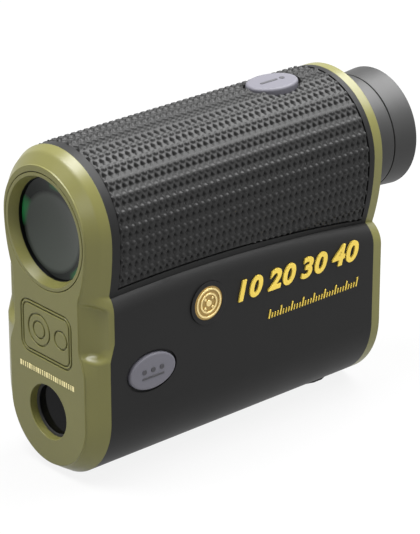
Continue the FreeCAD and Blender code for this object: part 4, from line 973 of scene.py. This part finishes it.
    def sections(self) -> tuple:
        """Points across the chamfers at every place round half the bezel.

        Returns:
            The face outline and a grid of points in millimetres, from the face to the parting line.
        """
        face = self.outline(self.face_radius, self.face_centre_z, self.face_side, self.face_arc_z,
                            self.face_half_width)
        crease = self.outline(self.crease_radius, self.face_centre_z, self.crease_side,
                              self.low_crease_arc_z, self.low_crease_half_width)
        outer = self.outline(self.outer_radius, self.outer_centre_z, self.outer_side, self.outer_arc_z,
                             self.outer_half_width)
        low = smooth(*self.crease_fade, crease[:, 1])
        crease_y = self.front_y + self.crease_depth + (self.low_crease_depth - self.crease_depth) * low
        start_y = np.full(len(face), self.front_y + self.plate_thickness - self.rounding)
        p0 = np.stack([face[:, 0], start_y, face[:, 1]], axis=1)
        p1 = np.stack([crease[:, 0], crease_y, crease[:, 1]], axis=1)
        p2 = np.stack([outer[:, 0], self.joint_y(outer[:, 1]), outer[:, 1]], axis=1)
        s = np.linspace(0.0, 1.0, self.across_steps)
        bend = self.bend
        grid = np.zeros((len(face), self.across_steps, 3))
        for k, t in enumerate(s):
            if t < 0.5 - bend / 2:
                grid[:, k] = p0 + (p1 - p0) * (t / 0.5)
            elif t > 0.5 + bend / 2:
                grid[:, k] = p1 + (p2 - p1) * ((t - 0.5) / 0.5)
            else:
                u = (t - 0.5 + bend / 2) / bend
                a = p0 + (p1 - p0) * (1.0 - bend)
                b = p1 + (p2 - p1) * bend
                grid[:, k] = a * (1 - u) ** 2 + p1 * 2 * u * (1 - u) + b * u ** 2
        return face, self.scooped(grid, s)

    def scooped(self, grid: np.ndarray, s: np.ndarray) -> np.ndarray:
        """Carve the finger scoop into half the chamfers.

        Args:
            grid: Points across the chamfers, in millimetres.
            s: Place of each point across, from the face to the parting line.

        Returns:
            The changed points.
        """
        z = grid[:, :, 2]
        start = grid[:, :1, :]
        end = grid[:, -1:, :]
        mid = self.scoop_outer
        u = np.clip(s / self.scoop_share, 0.0, 1.0)[None, :]
        ramp = self.scoop_lead * u + (1.0 - self.scoop_lead) * u ** 2
        x_floor = start[:, :, 0] + (mid - start[:, :, 0]) * ramp
        y_floor = start[:, :, 1] + self.scoop_depth * np.sin(u * math.pi / 2.0)
        y_floor = np.minimum(y_floor, end[:, :, 1] - self.scoop_joint_gap)
        v = np.clip((s - self.scoop_share) / (1.0 - self.scoop_share), 0.0, 1.0)[None, :]
        x_floor = x_floor + (end[:, :, 0] - mid) * v
        y_floor = y_floor + (end[:, :, 1] - y_floor) * v
        height = self.scoop_half_height * np.sqrt(1.0 - (self.scoop_taper * s[None, :]) ** 2)
        weight = smooth(0.0, self.scoop_end, height - np.abs(z - self.scoop_z))
        grid[:, :, 0] += (x_floor - grid[:, :, 0]) * weight
        grid[:, :, 1] += (y_floor - grid[:, :, 1]) * weight
        return grid

    def build(self) -> bpy.types.Object:
        """Build the bezel: a chamfered band, a core plate and an engraved front plate.

        Returns:
            The piece.
        """
        face, half = self.sections()
        mirror = half[::-1][1:-1].copy()
        mirror[:, :, 0] *= -1.0
        loop = np.concatenate([half, mirror], axis=0)
        inner = loop[:, -1:, :].copy()
        centre = np.stack([np.zeros(len(loop)), np.clip(loop[:, -1, 2], self.outer_arc_z,
                                                        self.outer_centre_z)], axis=1)
        direction = np.stack([inner[:, 0, 0] - centre[:, 0], inner[:, 0, 2] - centre[:, 1]], axis=1)
        length = np.maximum(np.hypot(direction[:, 0], direction[:, 1]), 1e-6)[:, None]
        beside = smooth(0.0, self.wall_fade, self.scoop_half_height + self.wall_reach
                        - np.abs(loop[:, -1, 2] - self.scoop_z))[:, None]
        shrink = direction / length * (self.wall + (self.scoop_wall - self.wall) * beside)
        inner[:, 0, 0] -= shrink[:, 0]
        inner[:, 0, 2] -= shrink[:, 1]
        front_inner = loop[:, :1, :].copy()
        front_inner[:, 0, 0] -= shrink[:, 0] * self.front_wall_share
        front_inner[:, 0, 2] -= shrink[:, 1] * self.front_wall_share
        ring = np.concatenate([loop, inner, front_inner], axis=1)
        count, width = ring.shape[:2]
        faces = []
        for i in range(count):
            j = (i + 1) % count
            for k in range(width):
                n = (k + 1) % width
                faces.append((i * width + k, j * width + k, j * width + n, i * width + n))
        band = (ring.reshape(-1, 3) * MM, faces)

        flat_outline = [(x, z) for x, z in face] + [(-x, z) for x, z in face[::-1][1:-1]]
        holes = [circle(self.bore_radius, (0.0, self.bore_z), 160),
                 circle(self.aperture_radius, (0.0, self.laser_z), 96)]
        at_front = Matrix.Translation((0.0, self.front_y * MM, 0.0)) @ FRONT_TO_ROW
        behind = Matrix.Translation((0.0, (self.front_y + self.plate_thickness - self.core_lap) * MM, 0.0))
        front = plate([flat_outline] + holes + self.engraving(), self.plate_thickness, self.rounding,
                      at_front)
        middle = self.face_centre_z / 2
        across, upward = self.core_share
        core_outline = [(x * across, middle + (z - middle) * upward) for x, z in flat_outline]
        core_holes = [circle(self.bore_radius + self.core_lap, (0.0, self.bore_z), 160),
                      circle(self.aperture_radius + self.core_lap, (0.0, self.laser_z), 96)]
        core = plate([core_outline] + core_holes, self.core_thickness, 0.02, behind @ FRONT_TO_ROW)
        piece = joined("front_bezel_skin", [band, front, core])
        dress(piece, OLIVE_ABS, Body.HOUSING)
        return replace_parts(piece, "front_bezel")

    def engraving(self) -> list:
        """Outlines of the grooves on the flat face: a double frame with plain rings in it.

        Returns:
            Two outlines for each groove, of which the inner one leaves an island.
        """
        grooves = []
        for half, z0, z1, corner in self.frames:
            for inset in (0.0, self.groove_width):
                grooves.append(round_rectangle(-half + inset, half - inset, z0 + inset, z1 - inset,
                                               corner - inset))
        for x, z, radius in self.rings:
            grooves += [circle(radius - inset, (x, z), 64) for inset in (0.0, self.groove_width)]
        return grooves


# ---------------------------------------------------------------- objective and laser window

@dataclass
class Objective:
    """Domed front glass and the smaller inner glass behind it."""

    glass_radius: float = 11.30
    dome_curve: float = 42.0
    rear_curve: float = 160.0
    edge_thickness: float = 1.6
    seat_depth: float = 0.8       # rim of the front glass behind the olive ring
    inner_radius: float = 9.0
    inner_curve: float = 24.0
    inner_gap: float = 2.4
    inner_thickness: float = 1.5
    rings: int = 26
    steps: int = 128

    def __post_init__(self) -> None:
        """Read the glass's place from its CAD node."""
        self.axis_z = middle(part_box("objective_front_glass"))[1]
        tube_low, _tube_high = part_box("objective_tube")
        self.seat_y = tube_low.y / MM + self.seat_depth

    def dome(self, radius: float, edge_y: float, curve: float) -> list:
        """Profile points of a dome from its pole to its rim.

        Args:
            radius: Radius of the rim.
            edge_y: Place of the rim along Y.
            curve: Radius of curvature; positive bulges towards -Y.

        Returns:
            Points of (y, radius).
        """
        full = abs(curve) - math.sqrt(curve ** 2 - radius ** 2)
        points = []
        for i in range(self.rings + 1):
            r = radius * i / self.rings
            sag = abs(curve) - math.sqrt(curve ** 2 - r ** 2)
            points.append((edge_y + math.copysign(sag - full, curve), max(r, 0.004)))
        return points

    def build(self) -> list:
        """Build the front glass and the inner glass behind it.

        Returns:
            The pieces.
        """
        front = self.dome(self.glass_radius, self.seat_y, self.dome_curve)
        back = self.dome(self.glass_radius, self.seat_y + self.edge_thickness, self.rear_curve)
        points, faces = turned_ring(front + back[::-1], (0.0, self.axis_z), self.steps)
        glass = new_piece("objective_dome", points, faces, COATED_GLASS, Body.HOUSING)
        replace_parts(glass, "objective_front_glass")

        inner_y = self.seat_y + self.edge_thickness + self.inner_gap
        inner = self.dome(self.inner_radius, inner_y, self.inner_curve)
        rear = [(inner_y + self.inner_thickness, r) for _y, r in inner]
        points, faces = turned_ring(inner + rear[::-1], (0.0, self.axis_z), self.steps)
        lens = new_piece("objective_inner_glass", points, faces, COATED_GLASS, Body.HOUSING)
        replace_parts(lens, "objective_rear_glass")
        return [glass, lens]


# ---------------------------------------------------------------- marks

@dataclass
class SideScale:
    """Raised gold numerals and ticks on the side: a plain distance scale."""

    numeral_height: float = 4.9
    numeral_z: float = 34.2
    first_y: float = -9.6
    last_y: float = 26.4
    numerals: tuple = ("10", "20", "30", "40")
    slant: float = 0.22
    stretch: float = 1.12
    boldness: float = 0.035
    spacing: float = 1.12
    proud: float = 0.35
    sunk: float = 0.1             # the numerals' feet under the side's surface
    tick_z: float = 27.6
    tick_height: float = 2.1
    tick_first_y: float = -0.5
    tick_last_y: float = 26.0
    tick_count: int = 33
    long_tick_every: int = 4
    short_tick_share: float = 0.55
    tick_halves: tuple = (0.17, 0.12)            # half-widths of a long and a short tick
    tick_proud: float = 0.2
    tick_sizes: tuple = (0.3, 0.03)              # thickness and rim radius

    def __post_init__(self) -> None:
        """Read the side's place from the lower shell."""
        _low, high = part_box("lower_shell")
        self.side_x = high.x / MM

    def glyphs(self, text: str, size: float) -> tuple:
        """Mesh of a row of numerals, lying in local XY.

        Args:
            text: The digits.
            size: Their height in millimetres.

        Returns:
            Points in millimetres and faces.
        """
        curve = bpy.data.curves.new("numerals", "FONT")
        curve.body = text
        curve.size = 1.0
        curve.shear = self.slant
        curve.extrude = 0.5
        curve.offset = self.boldness
        curve.resolution_u = 6
        curve.space_character = self.spacing
        points, faces = curve_mesh(curve, Matrix.Identity(4))
        low, high = points.min(0), points.max(0)
        points[:, :2] = (points[:, :2] - low[:2]) * (size / (high[1] - low[1]))
        points[:, 0] *= self.stretch
        points[:, 2] = points[:, 2] - points[:, 2].min()
        return points, faces

    def build(self) -> list:
        """Build the numerals and the ticks.

        Returns:
            The pieces.
        """
        parts, widths = [], []
        for text in self.numerals:
            points, faces = self.glyphs(text, self.numeral_height)
            parts.append((points, faces))
            widths.append(points[:, 0].max())
        gap = (self.last_y - self.first_y - sum(widths)) / (len(parts) - 1)
        placed, y = [], self.first_y
        for (points, faces), width in zip(parts, widths):
            where = np.zeros_like(points)
            where[:, 0] = self.side_x - self.sunk + points[:, 2] * (self.proud + self.sunk)
            where[:, 1] = y + points[:, 0]
            where[:, 2] = self.numeral_z + points[:, 1]
            placed.append((where * MM, faces))
            y += width + gap
        numerals = dress(joined("scale_numerals", placed), GOLD_FOIL, Body.HOUSING)

        outlines = []
        for i in range(self.tick_count):
            y = self.tick_first_y + (self.tick_last_y - self.tick_first_y) * i / (self.tick_count - 1)
            long = i % self.long_tick_every == 0
            top = self.tick_z + self.tick_height * (1.0 if long else self.short_tick_share)
            half = self.tick_halves[0 if long else 1]
            outlines.append([(y - half, self.tick_z), (y + half, self.tick_z),
                             (y + half + self.slant * (top - self.tick_z), top),
                             (y - half + self.slant * (top - self.tick_z), top)])
        to_side = Matrix.Translation(((self.side_x + self.tick_proud) * MM, 0.0, 0.0)) @ SIDE_TO_ROW
        ticks = mark("scale_ticks", outlines, self.tick_sizes, to_side, GOLD_FOIL, Body.HOUSING)
        return [numerals, ticks]


@dataclass
class SmallMarks:
    """Rings on the badge, marks on both keys and the dashes over the laser window."""

    badge_rings: tuple = (3.45, 2.35, 0.75)      # outer radii
    ring_width: float = 0.42
    stud_count: int = 4
    stud_radius: float = 0.32
    stud_reach: float = 1.45
    badge_proud: float = 0.24
    badge_sizes: tuple = (0.34, 0.08)            # thickness and rim radius of the badge's rings
    key_proud: float = 0.12
    key_sizes: tuple = (0.2, 0.06)               # thickness and rim radius of the marks on the keys
    power_bar: tuple = (0.35, -3.4, 1.6, 0.34)   # half-width, both ends along Y, corner
    power_dot: tuple = (3.0, 0.62)               # place along Y, radius
    mode_dots: tuple = (-2.4, 0.0, 2.4)          # places along Y
    mode_dot_rise: float = 0.45
    mode_dot_radius: float = 0.6
    mode_bar: tuple = (3.0, -1.35, -0.85, 0.24)  # half-length, low, high, corner
    dash_z: float = 22.1
    dash_height: float = 1.2
    dash_half_span: float = 9.0
    dash_count: int = 25
    dash_halves: tuple = (0.3, 0.16, 0.16, 0.16)     # half-widths, in turn
    dash_proud: float = 0.06
    dash_sizes: tuple = (0.2, 0.03)

    def build(self) -> list:
        """Build every small mark.

        Returns:
            The pieces.
        """
        return [self.badge(), self.power_mark(), self.mode_mark(), self.dashes()]

    def badge(self) -> bpy.types.Object:
        """Make the plain raised rings and studs on the round badge.

        Returns:
            The piece.
        """
        y, z, high = middle(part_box("badge"))
        outlines = []
        for radius in self.badge_rings:
            outlines.append(circle(radius, (y, z), 64))
            if radius > self.ring_width * 2:
                outlines.append(circle(radius - self.ring_width, (y, z), 64))
        for turn in range(self.stud_count):
            a = math.radians(45.0 + 90.0 * turn)
            outlines.append(circle(self.stud_radius, (y + self.stud_reach * math.cos(a),
                                                      z + self.stud_reach * math.sin(a)), 24))
        to_side = Matrix.Translation((high.x + self.badge_proud * MM, 0.0, 0.0)) @ SIDE_TO_ROW
        return mark("badge_rings", outlines, self.badge_sizes, to_side, BURNISHED, Body.HOUSING)

    def power_mark(self) -> bpy.types.Object:
        """Make the raised bar and dot on the power key.

        Returns:
            The piece.
        """
        y, _z, high = middle(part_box("power_button"))
        half, start, end, corner = self.power_bar
        place, radius = self.power_dot
        outlines = [round_rectangle(-half, half, y + start, y + end, corner, 6),
                    circle(radius, (0.0, y + place), 32)]
        to_top = Matrix.Translation((0.0, 0.0, high.z + self.key_proud * MM))
        return mark("power_mark", outlines, self.key_sizes, to_top, KEY_MARK, Body.POWER_KEY)

    def mode_mark(self) -> bpy.types.Object:
        """Make the three raised dots and the bar on the mode key.

        Returns:
            The piece.
        """
        y, z, high = middle(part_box("mode_button"))
        outlines = [circle(self.mode_dot_radius, (y + step, z + self.mode_dot_rise), 32)
                    for step in self.mode_dots]
        half, below, above, corner = self.mode_bar
        outlines.append(round_rectangle(y - half, y + half, z + below, z + above, corner, 6))
        to_side = Matrix.Translation((high.x + self.key_proud * MM, 0.0, 0.0)) @ SIDE_TO_ROW
        return mark("mode_mark", outlines, self.key_sizes, to_side, KEY_MARK, Body.MODE_KEY)

    def dashes(self) -> bpy.types.Object:
        """Make the row of plain pale dashes over the laser window.

        Returns:
            The piece.
        """
        low, _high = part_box("front_bezel")
        outlines = []
        for i in range(self.dash_count):
            x = -self.dash_half_span + 2.0 * self.dash_half_span * i / (self.dash_count - 1)
            half = self.dash_halves[i % len(self.dash_halves)]
            outlines.append([(x - half, self.dash_z), (x + half, self.dash_z),
                             (x + half, self.dash_z + self.dash_height),
                             (x - half, self.dash_z + self.dash_height)])
        to_face = Matrix.Translation((0.0, low.y - self.dash_proud * MM, 0.0)) @ FRONT_TO_ROW
        return mark("window_dashes", outlines, self.dash_sizes, to_face, PALE_PRINT, Body.HOUSING)


# ---------------------------------------------------------------- carried-over nodes and studio

class CarriedNodes:
    """The CAD nodes that show as they are, with a finish for each material slot."""

    def dress(self) -> None:
        """Give every CAD node the finish of its slot."""
        slots = {s["node"]: s["material_slot"] for s in frame["record"]["subparts"]}
        for name, node in frame["nodes"].items():
            finish = SLOT_FINISHES[slots[name]]
            node.data.materials.clear()
            node.data.materials.append(finish.material())
            LOG.info("node %s: finish %s", name, finish.name)


@dataclass
class Studio:
    """White floor and backdrop, two top lights, front and side fills and the camera."""

    lens_mm: float = 180.5
    sensor_mm: float = 36.0
    clip: tuple = (0.01, 20.0)    # near and far, metres
    camera_place: tuple = (0.41102, -0.36180, 0.27381)
    camera_right: tuple = (0.6585, 0.7526, 0.0)
    camera_up: tuple = (-0.3019, 0.2642, 0.9160)
    camera_back: tuple = (0.6894, -0.6032, 0.4012)
    floor_size: float = 6.0
    shadow_share: float = 0.13
    ambient: float = 0.10
    floor_colour: str = "a8a8a8"
    lamps: tuple = (              # name, place in metres, height aimed at, size in metres, watts
        ("back_top_light", (0.06, 0.42, 0.74), 0.04, (0.9, 0.6), 19.0),
        ("front_top_light", (-0.14, -0.24, 0.80), 0.05, (0.4, 0.4), 13.0),
        ("front_light", (0.32, -0.68, 0.38), 0.05, (0.30, 0.30), 1.3),
        ("side_light", (0.70, 0.10, 0.35), 0.03, (0.5, 0.4), 2.2),
    )

    @staticmethod
    def seen(tree: bpy.types.NodeTree) -> bpy.types.NodeSocket:
        """Tell the rays that show a surface from those that only light one.

        Args:
            tree: The node tree.

        Returns:
            A socket that is 1 for camera, glossy and transmission rays.
        """
        path = add_node(tree, "ShaderNodeLightPath").outputs
        glossy = add_node(tree, "ShaderNodeMath", {"operation": "MAXIMUM"},
                          {0: path["Is Camera Ray"], 1: path["Is Glossy Ray"]}).outputs[0]
        return add_node(tree, "ShaderNodeMath", {"operation": "MAXIMUM"},
                        {0: glossy, 1: path["Is Transmission Ray"]}).outputs[0]

    def white(self, name: str, share: float) -> bpy.types.Material:
        """Floor material: white to the camera, and a pale diffuse that keeps the shadow.

        Args:
            name: The material's name.
            share: How much of the diffuse floor the camera sees.

        Returns:
            The material.
        """
        material = bpy.data.materials.new(name)
        material.use_nodes = True
        tree = material.node_tree
        tree.nodes.clear()
        seen = self.seen(tree)
        factor = add_node(tree, "ShaderNodeMath", {"operation": "MULTIPLY", 1: 1.0 - share}, {0: seen})
        diffuse = add_node(tree, "ShaderNodeBsdfDiffuse", {"Color": linear(self.floor_colour)})
        glow = add_node(tree, "ShaderNodeEmission", {"Color": linear("ffffff"), "Strength": 1.0})
        mixed = add_node(tree, "ShaderNodeMixShader",
                         links={0: factor.outputs[0], 1: diffuse.outputs[0], 2: glow.outputs[0]})
        add_node(tree, "ShaderNodeOutputMaterial", links={"Surface": mixed.outputs[0]})
        return material

    def floor(self) -> None:
        """Add the floor as a piece of the stage."""
        half = self.floor_size / 2.0
        mesh = bpy.data.meshes.new("studio_floor")
        mesh.from_pydata([(-half, -half, 0), (half, -half, 0), (half, half, 0), (-half, half, 0)], [],
                         [(0, 1, 2, 3)])
        floor = bpy.data.objects.new("studio_floor", mesh)
        mesh.materials.append(self.white("studio_white", self.shadow_share))
        bpy.context.scene.collection.objects.link(floor)

    def world(self) -> None:
        """Make the world white to the camera and a softer grey to diffuse surfaces."""
        world = bpy.data.worlds.new("studio_world")
        bpy.context.scene.world = world
        world.use_nodes = True
        tree = world.node_tree
        tree.nodes.clear()
        seen = self.seen(tree)
        strength = add_node(tree, "ShaderNodeMapRange", {"To Min": self.ambient, "To Max": 1.0},
                            {"Value": seen})
        glow = add_node(tree, "ShaderNodeBackground", {"Color": linear("ffffff")},
                        {"Strength": strength.outputs[0]})
        add_node(tree, "ShaderNodeOutputWorld", links={"Surface": glow.outputs[0]})

    def lamp(self, name: str, place: tuple, aim: tuple, size: tuple, watts: float) -> None:
        """Add one rectangular soft light.

        Args:
            name: Its name.
            place: Its centre in metres.
            aim: The point that it faces.
            size: Width and height in metres.
            watts: Its power.
        """
        light = bpy.data.lights.new(name, "AREA")
        light.shape = "RECTANGLE"
        light.size, light.size_y = size
        light.energy = watts
        holder = bpy.data.objects.new(name, light)
        holder.location = place
        holder.rotation_mode = "QUATERNION"
        holder.rotation_quaternion = (Vector(aim) - Vector(place)).to_track_quat("-Z", "Y")
        bpy.context.scene.collection.objects.link(holder)

    def camera(self) -> None:
        """Add the camera and make it the scene's own."""
        data = bpy.data.cameras.new("camera")
        data.lens = self.lens_mm
        data.sensor_width = self.sensor_mm
        data.clip_start, data.clip_end = self.clip
        camera = bpy.data.objects.new("camera", data)
        rows = [(r, u, b, p) for r, u, b, p in zip(self.camera_right, self.camera_up, self.camera_back,
                                                   self.camera_place)]
        camera.matrix_world = Matrix(rows + [(0.0, 0.0, 0.0, 1.0)])
        bpy.context.scene.collection.objects.link(camera)
        bpy.context.scene.camera = camera

    def build(self) -> None:
        """Build the whole studio."""
        self.floor()
        self.world()
        for name, place, aim_z, size, watts in self.lamps:
            self.lamp(name, place, (0.0, 0.0, aim_z), size, watts)
        self.camera()
        bpy.context.scene.view_settings.view_transform = "Standard"


def main() -> None:
    """Build every class in order."""
    logging.basicConfig(level=logging.INFO, format="%(message)s")
    CarriedNodes().dress()
    FrontBezel().build()
    Objective().build()
    GripPanel().build()
    SideScale().build()
    SmallMarks().build()
    Studio().build()


if __name__ == "__main__":
    main()
